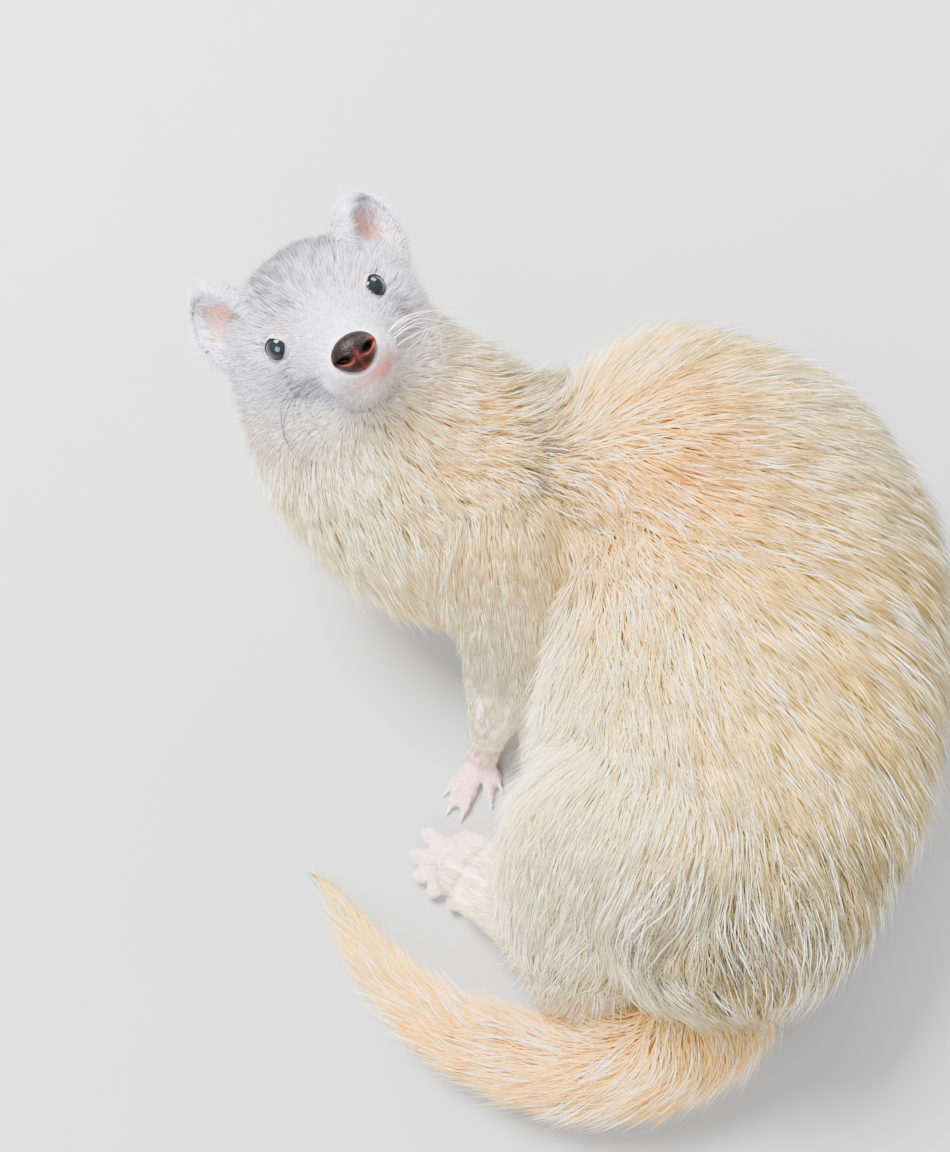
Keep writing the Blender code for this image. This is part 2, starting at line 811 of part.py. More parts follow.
def make_paw(name, paw, cutters, leg):
    """A paw with its digits and claws, fused to the end of its leg.

    Each digit arches from the palm to where its claw leaves it, and the claw ends at the tip.
    """
    palm = Vector(paw["palm"])
    thick = paw["thick"]
    claw = paw["claw"]
    pieces = [ball("palm", palm, paw["size"], cutters, segments=20)]
    nails = []
    for tip in paw["tips"]:
        end = Vector(tip)
        away = (end - palm).xy.to_3d().normalized()
        ball_at = end - away * claw * 0.8
        ball_at.z = end.z + thick * 0.7
        knuckle = palm.lerp(ball_at, 0.55)
        knuckle.z = ball_at.z + thick * 0.8
        root = palm.lerp(ball_at, 0.1)
        digit = [
            (*root, thick * 1.1, thick, 0),
            (*knuckle, thick * 1.02, thick, 0),
            (*ball_at, thick * 0.82, thick * 0.8, 0),
        ]
        pieces.append(tube("digit", digit, cutters, sides=12, steps=4))
        nails.append((ball_at + away * thick * 0.3, end))
    made = fuse(name, [*pieces, leg], cutters, *PAW_SKIN, paw["triangles"])
    for start, end in nails:
        lean = end - start
        shape = bmesh.new()
        bmesh.ops.create_cone(
            shape, cap_ends=True, segments=6, radius1=CLAW_RADIUS, radius2=0.2, depth=lean.length
        )
        bmesh.ops.transform(shape, matrix=standing((start + end) / 2, lean), verts=shape.verts)
        nail = add_object("claw", mesh_of("claw", shape), cutters)
        boolean(made, [nail], "UNION")
        bpy.data.objects.remove(nail)
    return made


def make_leg(name, stations, paw, collection, cutters):
    """The lower leg and its paw: the tube beyond its root's cut, parted again at the wrist."""
    root, wrist = LEG_CUTS[name]
    leg = tube("leg", stations, cutters, sides=24, steps=5)
    whole = make_paw(f"leg_{name}", paw, cutters, leg)
    slabs = [slab(stations, *root, cutters), slab(stations, *wrist, cutters)]
    words = PART_WORDS[name]
    seeds = {
        "spare": along(stations, root[0] / 2)[:3],
        words[0]: along(stations, (root[0] + wrist[0]) / 2)[:3],
        words[1]: paw["palm"],
    }
    made = part(whole, slabs, seeds, collection)
    bpy.data.objects.remove(made.pop("spare"))
    made[words[0]].data.materials.append(material("coat"))
    made[words[1]].data.materials.append(material("skin"))
    return list(made.values())


def nearest_station(point, tubes):
    """The tube and the t whose section's edge the point lies closest to."""
    best = None
    for stations in tubes:
        for i in range(25):
            x, y, z, wide, tall, coat = along(stations, i / 24)
            share = (point - Vector((x, y, z))).length / (wide + tall)
            if best is None or share < best[0]:
                best = (share, stations, i / 24, Vector((x, y, z)), coat)
    return best[1:]


def lie_of_coat(point, normal, tubes, sweep):
    """The direction in which the hair lies at a point of the skin."""
    stations, t, centre, _ = nearest_station(point, tubes)
    outward = (point - centre).xy.to_3d()
    outward = outward.normalized() if outward.length > 1 else Vector()
    lie = heading(stations, t) + outward * sweep
    lie -= normal * lie.dot(normal)
    return lie.normalized()


def turned_lie(point, up, tubes, sweep, angle):
    """The lie of the coat, turned about the skin's normal."""
    lie = lie_of_coat(point, up, tubes, sweep)
    lie.rotate(Matrix.Rotation(angle, 3, up))
    return lie


def lock_roots(core, spacing, chance, allowed):
    """Places spread evenly over the core, no two closer than the spacing."""
    faces = [(f.calc_area(), f) for f in core.faces]
    weights = [area for area, _ in faces]
    picked = []
    for _, face in chance.choices(faces, weights, k=TRIES):
        corners = [v.co for v in face.verts]
        a, b = sorted((chance.random(), chance.random()))
        place = corners[0] * a + corners[1] * (b - a) + corners[2] * (1 - b)
        clear = all((place - other).length > spacing for other, _ in picked)
        if clear and allowed(place, face.normal):
            picked.append((place, face.normal.copy()))
    return picked


def make_lock(tree, place, normal, size, coat, tubes, chance, collection):
    """One flat lock, tapered to its tip, that leaves the core and bends along the lie of the coat."""
    fit = min(1.0, max(SHORTEST, coat / size["full"]))
    height = coat * CORE_INSET + TIP_PROUD * fit
    length = size["length"] * fit * chance.uniform(*VARIED)
    width = size["width"] * fit * chance.uniform(*VARIED)
    turn = chance.uniform(-TURN, TURN)
    bend = chance.uniform(-BEND, BEND)
    sweep = size["sweep"]
    shape = bmesh.new()
    rows = []
    point, up = place.copy(), normal
    done = 0.0
    for end, broad, ridge in (*LOCK_SHAPE, (1.0, 0.0, 0.0)):
        for _ in range(STEPS if end > done else 0):
            lie = turned_lie(point, up, tubes, sweep, turn + bend * done)
            found = tree.find_nearest(point + lie * length * (end - done) / STEPS)
            point, up = found[0], found[1]
        done = end
        lie = turned_lie(point, up, tubes, sweep, turn + bend * done)
        middle = point + up * ((height + ROOT_SUNK) * end ** RISE - ROOT_SUNK)
        if not broad:
            tip = shape.verts.new(middle)
            continue
        side = lie.cross(up) * width / 2 * broad
        crest = up * size["thick"] * fit * ridge
        rows.append([shape.verts.new(middle + offset) for offset in (side, crest, -side)])
    for low, high in zip(rows, rows[1:]):
        for k in range(3):
            shape.faces.new((low[k], low[(k + 1) % 3], high[(k + 1) % 3], high[k]))
    for k in range(3):
        shape.faces.new((rows[-1][k], rows[-1][(k + 1) % 3], tip))
    shape.faces.new(rows[0])
    bmesh.ops.triangulate(shape, faces=shape.faces)
    return add_object("lock", mesh_of("lock", shape), collection)


def tree_of(objects):
    """A search tree over all the surfaces of these objects."""
    shape = bmesh.new()
    for obj in objects:
        shape.from_mesh(obj.data)
    tree = BVHTree.FromBMesh(shape)
    shape.free()
    return tree


def grow_locks(obj, size, tubes, allowed, chance, others=()):
    """Roots the locks of the coat in the core, but none that would touch the others, and fuses them."""
    core = bmesh.new()
    core.from_mesh(obj.data)
    bmesh.ops.triangulate(core, faces=core.faces)
    core.normal_update()
    tree = BVHTree.FromBMesh(core)
    taken = tree_of(others)
    locks = bpy.data.collections.new("locks")
    bpy.context.scene.collection.children.link(locks)
    for place, normal in lock_roots(core, size["spacing"], chance, allowed):
        coat = nearest_station(place, tubes)[3]
        lock = make_lock(tree, place, normal, size, coat, tubes, chance, locks)
        around = swollen(lock, 2 * GAP, locks)
        if tree_of([around]).overlap(taken):
            bpy.data.objects.remove(lock)
        bpy.data.objects.remove(around)
    core.free()
    step = obj.modifiers.new("coat", "BOOLEAN")
    step.operation = "UNION"
    step.operand_type = "COLLECTION"
    step.collection = locks
    step.solver = "MANIFOLD"
    bake(obj)
    for lock in list(locks.objects):
        bpy.data.objects.remove(lock)
    bpy.data.collections.remove(locks)
    return keep_largest(obj)


def make_tail(cutters):
    """The bare tail, from where it leaves the rump."""
    core = tube("tail", TAIL, cutters, shrink=CORE_INSET, lies=True)
    whole = fuse("tail", [core], cutters, *TAIL_SKIN)
    seeds = {"stub": along(TAIL, 0.06)[:3], "tail": along(TAIL, 0.34)[:3]}
    made = part(whole, [slab(TAIL, *TAIL_CUTS[0], cutters)], seeds, cutters)
    bpy.data.objects.remove(made["stub"])
    return made["tail"]


def dress_tail(tail, others, collection, cutters):
    """Grows the tail's locks, clear of the other nodes, and parts it into three lengths."""

    def allowed(place, normal):
        return normal.z > UNDERSIDE and (place - Vector(TAIL[-1][:3])).length > TIP_CLEAR

    grow_locks(tail, TAIL_LOCKS, [TAIL], allowed, random.Random(SEED + 1), others)
    slabs = [slab(TAIL, *cut, cutters) for cut in TAIL_CUTS[1:]]
    seeds = {
        "tail_root": along(TAIL, 0.34)[:3],
        "tail_middle": along(TAIL, 0.61)[:3],
        "tail_tip": along(TAIL, 0.86)[:3],
    }
    for obj in part(tail, slabs, seeds, collection).values():
        obj.data.materials.append(material("coat"))


def make_body(frame, collection, cutters):
    """The neck and the three lengths of the trunk."""
    pieces = [
        tube("neck", NECK, cutters, shrink=CORE_INSET),
        tube("trunk", TRUNK, cutters, shrink=CORE_INSET, bulge=0.4, lies=True),
        tube("stub", TAIL[:3], cutters, shrink=CORE_INSET, lies=True),
        tube("arm", FORELEG_LEFT[:4], cutters, shrink=CORE_INSET),
        tube("arm", FORELEG_RIGHT[:3], cutters, shrink=CORE_INSET),
        tube("thigh", HINDLEG_LEFT[:4], cutters, shrink=CORE_INSET, bulge=0.5),
        tube("hip", HINDLEG_RIGHT[:2], cutters, shrink=CORE_INSET, lies=True),
    ]
    pieces += skull_pieces(frame, cutters)
    whole = fuse("body", pieces, cutters, *BODY_SKIN)
    tubes = [NECK, TRUNK, FORELEG_LEFT[:4], FORELEG_RIGHT, HINDLEG_LEFT[:4], TAIL[1:4]]
    head_at = frame @ Vector(HEAD_CUT_AT)
    head_way = frame.to_3x3() @ Vector(HEAD_CUT_FACES)

    def allowed(place, normal):
        clear = (place - head_at).dot(head_way) < -HEAD_CLEAR
        nearest, _, _, coat = nearest_station(place, tubes)
        return clear and normal.z > UNDERSIDE and coat > SHORT_COAT and nearest is not tubes[-1]

    grow_locks(whole, BODY_LOCKS, tubes, allowed, random.Random(SEED))
    sleeve = tube("sleeve", FORELEG_LEFT[:5], cutters, grow=ARM_EXTRA, bulge=0.2)
    sleeve = fuse("sleeve", [sleeve], cutters, *SLEEVE_SKIN)
    arm = add_object("arm_left", whole.data.copy(), collection)
    keep_largest(boolean(arm, [sleeve], "INTERSECT"))
    carve(whole, [sleeve], cutters)
    bpy.data.objects.remove(sleeve)
    seeds = {"trunk": TRUNK[4][:3], "thigh_left": HINDLEG_LEFT[0][:3]}
    limbs = part(whole, [cup(*THIGH_CUP, cutters)], seeds, collection)
    limbs["arm_left"] = arm
    slabs = [
        head_cut(frame, cutters),
        slab(NECK, *CHEST_CUT, cutters),
        slab(TRUNK, *LOIN_CUT, cutters),
        slab(TRUNK, *RUMP_CUT, cutters),
    ]
    seeds = {
        "head_spare": HEAD_AT,
        "neck": along(NECK, 0.42)[:3],
        "chest": along(TRUNK, 0.1)[:3],
        "loin": along(TRUNK, 0.57)[:3],
        "rump": (*along(TRUNK, 0.9)[:2], 20),
    }
    made = part(limbs.pop("trunk"), slabs, seeds, collection)
    made.update(limbs)
    bpy.data.objects.remove(made.pop("head_spare"))
    for obj in made.values():
        obj.data.materials.append(material("coat"))
    return list(made.values())


def level_floor(objects, cutters):
    """Cuts all that would lie under the floor, which leaves small flats at one level."""
    shape = bmesh.new()
    side = 600.0
    bmesh.ops.create_cube(shape, size=side)
    bmesh.ops.translate(shape, vec=(0, 0, FLOOR_PRESS - side / 2), verts=shape.verts)
    ground = add_object("ground", mesh_of("ground", shape), cutters)
    for obj in objects:
        if min(v.co.z for v in obj.data.vertices) < FLOOR_PRESS:
            keep_largest(boolean(obj, [ground], "DIFFERENCE"))
    bpy.data.objects.remove(ground)


def settle(objects):
    """Scales the model to metres and puts the middle of its footprint on the origin."""
    corners = [v.co for obj in objects for v in obj.data.vertices]
    low = Vector([min(c[i] for c in corners) for i in range(3)])
    high = Vector([max(c[i] for c in corners) for i in range(3)])
    middle = (low + high) / 2
    shift = Matrix.Translation((-middle.x, -middle.y, -low.z))
    for obj in objects:
        obj.data.transform(Matrix.Scale(MM, 4) @ shift)
        obj.data.shade_smooth()


def main():
    """Builds every node."""
    clear_scene()
    ferret = bpy.data.collections.new("ferret")
    cutters = bpy.data.collections.new("cutters")
    bpy.context.scene.collection.children.link(ferret)
    bpy.context.scene.collection.children.link(cutters)
    frame = head_frame()
    make_head(frame, ferret, cutters)
    body = make_body(frame, ferret, cutters)
    tail = make_tail(cutters)
    limbs = make_leg("fore_left", FORELEG_LEFT[1:], FOREPAW_LEFT, ferret, cutters)
    limbs += make_leg("fore_right", FORELEG_RIGHT[1:], FOREPAW_RIGHT, ferret, cutters)
    limbs += make_leg("hind_left", HINDLEG_LEFT[3:], HINDPAW_LEFT, ferret, cutters)
    limbs += make_leg("hind_right", HINDLEG_RIGHT[1:], HINDPAW_RIGHT, ferret, cutters)
    for node in body:
        carve(node, [limb for limb in [*limbs, tail] if near(limb, node)], cutters)
    dress_tail(tail, [*limbs, *body], ferret, cutters)
    nodes = list(ferret.objects)
    level_floor(nodes, cutters)
    settle(nodes)


main()
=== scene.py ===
"""Dresses the ferret for show: skin, coat of tufts, face, ears, claws, whiskers and a studio.

Shapes are worked out in the same millimetres as the solids and moved into the shared frame at
the end. The floor is at FLOOR, the left flank faces up and the belly faces -X.
"""

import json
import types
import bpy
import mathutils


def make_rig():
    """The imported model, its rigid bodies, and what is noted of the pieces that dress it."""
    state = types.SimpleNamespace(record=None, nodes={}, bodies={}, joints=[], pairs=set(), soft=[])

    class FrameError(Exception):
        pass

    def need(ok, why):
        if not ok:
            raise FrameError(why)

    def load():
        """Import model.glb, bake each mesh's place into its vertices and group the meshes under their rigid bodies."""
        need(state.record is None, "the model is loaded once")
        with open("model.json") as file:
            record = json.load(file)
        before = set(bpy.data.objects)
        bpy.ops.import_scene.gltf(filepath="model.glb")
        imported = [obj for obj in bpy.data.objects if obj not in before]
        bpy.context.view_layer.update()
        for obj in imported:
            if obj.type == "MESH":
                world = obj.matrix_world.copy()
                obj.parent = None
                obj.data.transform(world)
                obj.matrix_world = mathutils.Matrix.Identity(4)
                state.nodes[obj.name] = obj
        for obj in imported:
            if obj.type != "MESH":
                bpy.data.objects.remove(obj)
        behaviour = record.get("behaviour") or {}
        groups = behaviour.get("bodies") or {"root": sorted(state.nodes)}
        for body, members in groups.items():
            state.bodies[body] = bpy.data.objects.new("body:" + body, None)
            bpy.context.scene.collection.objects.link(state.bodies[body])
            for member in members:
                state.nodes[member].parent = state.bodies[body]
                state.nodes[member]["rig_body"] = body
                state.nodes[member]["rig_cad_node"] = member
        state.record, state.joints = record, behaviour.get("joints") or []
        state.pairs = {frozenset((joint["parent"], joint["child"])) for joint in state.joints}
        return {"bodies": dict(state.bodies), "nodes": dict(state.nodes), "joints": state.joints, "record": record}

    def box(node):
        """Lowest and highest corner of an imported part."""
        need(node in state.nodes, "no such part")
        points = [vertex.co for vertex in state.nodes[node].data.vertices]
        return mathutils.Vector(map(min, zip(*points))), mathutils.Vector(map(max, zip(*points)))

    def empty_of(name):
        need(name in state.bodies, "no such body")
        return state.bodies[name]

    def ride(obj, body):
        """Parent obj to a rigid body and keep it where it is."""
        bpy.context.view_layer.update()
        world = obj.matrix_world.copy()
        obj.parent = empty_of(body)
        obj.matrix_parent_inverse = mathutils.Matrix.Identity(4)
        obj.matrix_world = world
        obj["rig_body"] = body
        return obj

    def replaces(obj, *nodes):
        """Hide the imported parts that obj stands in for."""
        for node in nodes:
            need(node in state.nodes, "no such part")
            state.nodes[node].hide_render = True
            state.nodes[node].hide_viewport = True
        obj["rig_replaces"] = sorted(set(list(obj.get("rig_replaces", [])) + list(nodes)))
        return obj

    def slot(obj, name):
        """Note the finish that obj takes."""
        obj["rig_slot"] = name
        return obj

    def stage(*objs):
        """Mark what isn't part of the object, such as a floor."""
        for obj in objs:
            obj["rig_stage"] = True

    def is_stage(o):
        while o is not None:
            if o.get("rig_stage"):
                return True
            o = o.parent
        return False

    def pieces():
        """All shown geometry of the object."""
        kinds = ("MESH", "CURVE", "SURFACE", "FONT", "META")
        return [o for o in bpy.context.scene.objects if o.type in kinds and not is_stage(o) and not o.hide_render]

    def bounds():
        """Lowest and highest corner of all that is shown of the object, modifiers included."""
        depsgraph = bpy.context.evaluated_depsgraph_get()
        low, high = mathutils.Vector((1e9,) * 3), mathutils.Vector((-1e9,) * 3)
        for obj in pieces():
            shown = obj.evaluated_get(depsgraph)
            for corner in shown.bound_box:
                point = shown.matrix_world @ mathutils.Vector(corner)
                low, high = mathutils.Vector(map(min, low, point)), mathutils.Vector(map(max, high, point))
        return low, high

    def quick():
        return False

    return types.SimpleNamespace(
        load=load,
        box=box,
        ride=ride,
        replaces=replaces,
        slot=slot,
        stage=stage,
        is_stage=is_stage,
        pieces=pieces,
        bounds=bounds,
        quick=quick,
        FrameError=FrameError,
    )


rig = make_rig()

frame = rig.load()

import json
import logging
import math
from dataclasses import dataclass, field
from enum import Enum
from typing import Callable, Iterable, Sequence

import bmesh
import bpy
import numpy as np
from mathutils import Matrix, Vector
from mathutils.bvhtree import BVHTree
from mathutils.kdtree import KDTree

logging.basicConfig(level=logging.INFO, format="%(message)s")
LOG = logging.getLogger("ferret")

MM = 0.001
FLOOR = 1.2
BODY = "root"
SIZE_FILE = "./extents.json"
BAKE_MAP = "OFBake"
PATCH = 0.003
COLOUR_LAYER = "Markings"
UP = np.array([0.0, 0.0, 1.0])

Stations = Sequence[tuple[float, float, float, float, float, float]]
Colour = tuple[float, float, float]
Faces = list[tuple[int, ...]]

# Stations of the tubes: the centre's x, y and z, half the width, half the height, and the depth
# of the coat.
NECK: Stations = (
    (-41, 57, 80.0, 28, 28, 0),
    (-38, 51, 72.0, 32, 32, 3),
    (-26, 36, 62.0, 39, 37, 9),
    (-9, 23, 54.0, 41.5, 39, 12),
    (13, 18, 49.0, 39, 41, 13),
    (36, 14, 47.0, 40, 42, 13),
)
TRUNK: Stations = (
    (36, 24.5, 46.5, 37, 43, 13),
    (46, 23.5, 47.0, 45.5, 47, 14),
    (56, 21.5, 47.0, 53, 48, 14),
    (66, 12.5, 47.0, 60, 48, 14),
    (72.5, -3, 47.0, 62, 48, 14),
    (73.8, -21, 47.0, 60.5, 48, 14),
    (72, -42, 47.0, 59, 48, 14),
    (69, -63, 46.0, 56, 47, 14),
    (67.0, -82, 44.0, 53, 45, 14),
    (68, -98.5, 41.0, 43.5, 41, 14),
    (68.5, -108, 36.5, 31.5, 33.5, 12),
)
TAIL: Stations = (
    (70, -94, 36.0, 26, 26, 12),
    (72.5, -106.5, 30.0, 18.5, 20, 11),
    (70, -117, 24.0, 15.5, 17.5, 10),
    (61.5, -126.5, 19.5, 15.2, 16.8, 9),
    (48.5, -133.0, 17.0, 14.8, 16.2, 9),
    (33, -135.8, 16.0, 13.8, 15.2, 9),
    (15, -133.5, 14.5, 12.4, 13.8, 8),
    (-1.5, -128.0, 12.5, 10.6, 12, 8),
    (-17.0, -117.5, 10.0, 8.4, 9.4, 7),
    (-29.5, -104, 7.0, 5.8, 6.4, 5),
    (-38.5, -90.8, 4.0, 3.0, 3.4, 3),
    (-44.5, -81, 2.2, 1.0, 1.2, 1),
)
FORELEG_LEFT: Stations = (
    (8, 2, 66.0, 22, 23, 8),
    (9, -13, 56.0, 17.5, 18, 4),
    (8.5, -23, 42.0, 13, 13.5, 2),
    (7, -34, 28.0, 9.6, 9.8, 1),
    (4.6, -38.0, 18.0, 7.0, 7.0, 0.6),
    (3.4, -41, 12.0, 5.6, 5.0, 0.4),
)
FORELEG_RIGHT: Stations = (
    (-1, 11, 26.0, 19, 19, 4),
    (18, -6, 17.0, 14, 14, 2),
    (21, -23, 11.0, 9.5, 9.5, 1),
    (20, -36, 8.5, 7.2, 7.2, 0.6),
    (19.5, -42, 7.0, 6.4, 5.2, 0.4),
)
HINDLEG_LEFT: Stations = (
    (57, -90, 60.0, 32, 30, 12),
    (36, -80, 57.0, 28, 28, 11),
    (29, -89, 44.0, 25, 24, 9),
    (30, -101, 28.0, 22, 20, 6),
    (12, -90, 16.0, 13, 12, 2),
    (1, -82, 11.0, 11, 8, 0.6),
)
HINDLEG_RIGHT: Stations = (
    (60, -87, 30.0, 30, 26, 8),
    (47, -84, 18.0, 19, 16, 3),
    (38.5, -79.5, 10.0, 10, 9.5, 1),
    (30, -76, 7.0, 8, 6.6, 0.6),
    (22, -74.5, 6.0, 7.0, 5.0, 0.4),
)

# The head's own frame: x towards the nose, y to the animal's left, z to its crown.
HEAD_AT = np.array([-39.8, 48.6, 104.0])
HEAD_FORWARD = np.array([0.077, -0.494, 0.866])
HEAD_LEFT = np.array([0.843, 0.494, 0.207])
HEAD_YAW = 3.0
# Balls of the skull: centre, radii and how far the skin lies inside the tips of the fur.
SKULL = (
    ((-23, 0, 3.0), (26.5, 26, 20.5), 5.0),
    ((-18, 13.5, -6), (20, 15.5, 17), 4.0),
    ((-18, -13.5, -6), (20, 15.5, 17), 4.0),
    ((-6, 8.5, -8.5), (15, 10.5, 12), 2.0),
    ((-6, -8.5, -8.5), (15, 10.5, 12), 2.0),
    ((15, 5.5, -14.5), (8.5, 6.5, 5.5), 0.8),
    ((15, -5.5, -14.5), (8.5, 6.5, 5.5), 0.8),
    ((-8, 0, -17), (17, 15.5, 12), 2.5),
    ((-16, 0, -17), (20, 23, 17), 4.5),
    ((-22, 19, 3), (14, 10.5, 12), 4.5),
    ((-22, -19, 3), (14, 10.5, 12), 4.5),
)
MUZZLE: Stations = (
    (-10, 0, -3, 21, 18, 3),
    (0, 0, -6, 16.5, 14.5, 2),
    (8, 0, -9, 13.5, 11.5, 1.4),
    (16, 0, -11.5, 11.3, 9.3, 1.0),
    (22, 0, -12.5, 9.5, 7.8, 0.7),
    (26, 0, -12.5, 6.5, 5.8, 0.6),
)
JAW: Stations = (
    (-14, 0, -18.5, 15.0, 10.0, 2),
    (-2, 0, -19.5, 11.5, 8.0, 1),
    (8, 0, -20.0, 8.4, 5.6, 0.8),
    (15, 0, -19.6, 6.0, 4.2, 0.6),
    (19.5, 0, -18.8, 4.0, 3.2, 0.5),
)
EYE_AT = np.array([-2.6, 14.4, 0.3])
EYE_RADIUS = 4.1
GAZE = np.array([0.8, 0.6, 0.05])
NOSE_AT = np.array([26.5, 0.0, -11.0])
NOSE_RADII = (4.1, 6.5, 5.1)
EAR_AT = np.array([-20.0, 23.0, 12.0])
EAR_YAW = 42.0
EAR_ROLL = 12.0
EAR_RADII = (6.0, 10.0, 12.0)
MOUTH = (
    (6, 12, -17.5),
    (12, 11, -18.2),
    (17.5, 8.5, -18.6),
    (21.5, 5, -18.4),
    (23.5, 1.6, -17.4),
    (23.5, 0, -16.8),
)


@dataclass(frozen=True)
class Paw:
    """A paw's palm and the place of each claw's tip."""

    palm: tuple[float, float, float]
    size: tuple[float, float, float]
    tips: tuple[tuple[float, float, float], ...]
    thick: float
    claw: float


PAWS = {
    "forepaw_left": Paw(
        (2.6, -42.6, 8.4),
        (5.0, 5.2, 3.8),
        ((-9.8, -55.3, 1.6), (-8.8, -61.2, 1.6), (-4.4, -63.4, 1.6), (4.9, -59.8, 1.6), (8.4, -54.6, 1.8)),
        1.6,
        4.6,
    ),
    "forepaw_right": Paw(
        (19.5, -45, 5.6),
        (6.0, 6.0, 4.2),
        ((27.5, -52, 1.5), (25, -58, 1.5), (21, -60.5, 1.5), (17, -60, 1.5), (13.8, -56, 1.5)),
        1.8,
        3.6,
    ),
    "hindpaw_left": Paw(
        (-2.6, -77.8, 8.4),
        (9.6, 9.8, 6.4),
        ((-15, -66.8, 4.0), (-18.8, -73.6, 3.0), (-18.0, -79.8, 2.6), (-13.6, -85.2, 2.4), (-7, -90.0, 2.4)),
        2.5,
        2.0,
    ),
    "hindpaw_right": Paw(
        (19, -73.5, 5.2),
        (8.5, 6.6, 4.4),
        ((14.5, -64, 1.6), (10.5, -66.5, 1.5), (8.6, -70.8, 1.5), (9.2, -75.5, 1.5), (12.5, -79.5, 1.6)),
        2.3,
        2.6,
    ),
}


class Slot(Enum):
    """The record's material slots."""

    BODY_FUR = "body_fur"
    HEAD_FUR = "head_fur"
    PAWS = "paws"
    NOSE = "nose"
    EYES = "eyes"


class Region(Enum):
    """Parts of the coat, each with its own length, thickness and lie."""

    HEAD = 0
    NECK = 1
    TRUNK = 2
    TAIL = 3
    ARM = 4
    LEG = 5
    HAUNCH = 6
    PAW = 7


@dataclass(frozen=True)
class CoatStyle:
    """How the tufts of one region grow.

    Sizes are in millimetres, density is in tufts a square millimetre, lift is the height of a
    tip as a share of the coat's depth, clump is how far tips gather, stray is the scatter of
    their direction in radians.
    """

    length: float
    width: float
    density: float
    lift: float
    clump: float
    stray: float
    sweep: float


STYLES = {
    Region.HEAD: CoatStyle(6.0, 0.25, 2.6, 0.95, 0.25, 0.2, 0.0),
    Region.NECK: CoatStyle(14.0, 0.36, 1.2, 1.0, 0.32, 0.22, 0.25),
    Region.TRUNK: CoatStyle(22.0, 0.4, 0.95, 1.0, 0.37, 0.2, 0.4),
    Region.TAIL: CoatStyle(20.0, 0.38, 1.15, 1.0, 0.35, 0.17, 0.12),
    Region.ARM: CoatStyle(11.0, 0.34, 1.3, 1.0, 0.35, 0.18, 0.0),
    Region.LEG: CoatStyle(6.5, 0.28, 1.7, 1.0, 0.3, 0.18, 0.0),
    Region.HAUNCH: CoatStyle(19.0, 0.4, 1.0, 1.0, 0.34, 0.2, 0.1),
    Region.PAW: CoatStyle(3.4, 0.17, 1.7, 1.0, 0.1, 0.25, 0.0),
}
# The rings of a tuft, as shares of its length, by how many it has.
RING_SHARES = {1: (0.0, 0.42, 1.0), 2: (0.0, 0.28, 0.66, 1.0)}
# The whorl on the shoulder that the body's fur spreads from, and how much further back it lies.
WHORL = np.array([21.0, 16.0])
BACKWARD = 0.3
TAIL_ROOT = np.array([72.0, -112.0, 36.0])
# Where the upper arm runs into the neck.
ARM_TOP = np.array([4.0, 8.0, 78.0])
ARM_REACH = np.array([28.0, 22.0, 30.0])
# Where the coat is fluffed: the middle, the reach and how many millimetres deeper it is.
FLUFF = (
    ((34, 60, 62), (24, 16, 30), 4.5),
    ((44, -112, 44), (24, 12, 26), 4.0),
)


def unit(vectors: np.ndarray) -> np.ndarray:
    """The vectors made one long."""
    length = np.linalg.norm(vectors, axis=-1, keepdims=True)
    return vectors / np.maximum(length, 1e-9)


def smooth_step(low: float, high: float, value: np.ndarray) -> np.ndarray:
    """A soft step from 0 at low to 1 at high."""
    t = np.clip((value - low) / (high - low), 0.0, 1.0)
    return t * t * (3 - 2 * t)


def curve_at(stations: Stations, t: np.ndarray) -> np.ndarray:
    """Follows the smooth curve through stations.

    Args:
        stations: The rows of numbers that the curve passes.
        t: Places from 0 to 1.

    Returns:
        One row of numbers for each place.
    """
    rows = np.asarray(stations, float)
    last = len(rows) - 1
    place = np.clip(np.asarray(t, float), 0.0, 1.0) * last
    i = np.minimum(place.astype(int), last - 1)
    u = (place - i)[:, None]
    a, b, c = rows[np.maximum(i - 1, 0)], rows[i], rows[i + 1]
    d = rows[np.minimum(i + 2, last)]
    bend = 2 * a - 5 * b + 4 * c - d
    twist = 3 * b - a - 3 * c + d
    return 0.5 * (2 * b + (c - a) * u + bend * u**2 + twist * u**3)


def headings(stations: Stations, t: np.ndarray) -> np.ndarray:
    """The direction of the curve at each place."""
    step = 0.01
    ahead = curve_at(stations, np.asarray(t) + step)[:, :3]
    return unit(ahead - curve_at(stations, np.asarray(t) - step)[:, :3])


@dataclass
class HeadFrame:
    """The head's own axes, and the way between them and the model's."""

    origin: np.ndarray = field(default_factory=lambda: HEAD_AT)
    axes: np.ndarray = field(init=False)

    def __post_init__(self) -> None:
        """Works the axes out: the columns are forward, left and crown."""
        forward = unit(HEAD_FORWARD)
        left = unit(HEAD_LEFT - forward * HEAD_LEFT.dot(forward))
        turn = Matrix.Rotation(math.radians(HEAD_YAW), 3, "Z")
        self.axes = np.stack([forward, left, np.cross(forward, left)], axis=1) @ np.array(turn)

    def out(self, points: np.ndarray) -> np.ndarray:
        """Points of the head's frame in the model's."""
        return np.asarray(points, float) @ self.axes.T + self.origin

    def into(self, points: np.ndarray) -> np.ndarray:
        """Points of the model's frame in the head's."""
        return (np.asarray(points, float) - self.origin) @ self.axes

    def turned(self, vectors: np.ndarray) -> np.ndarray:
        """Directions of the head's frame in the model's."""
        return np.asarray(vectors, float) @ self.axes.T


HEAD = HeadFrame()


def mirrored(point: Sequence[float], side: int) -> np.ndarray:
    """The point on the left (1) or right (-1) of the head."""
    return np.array([point[0], point[1] * side, point[2]], float)


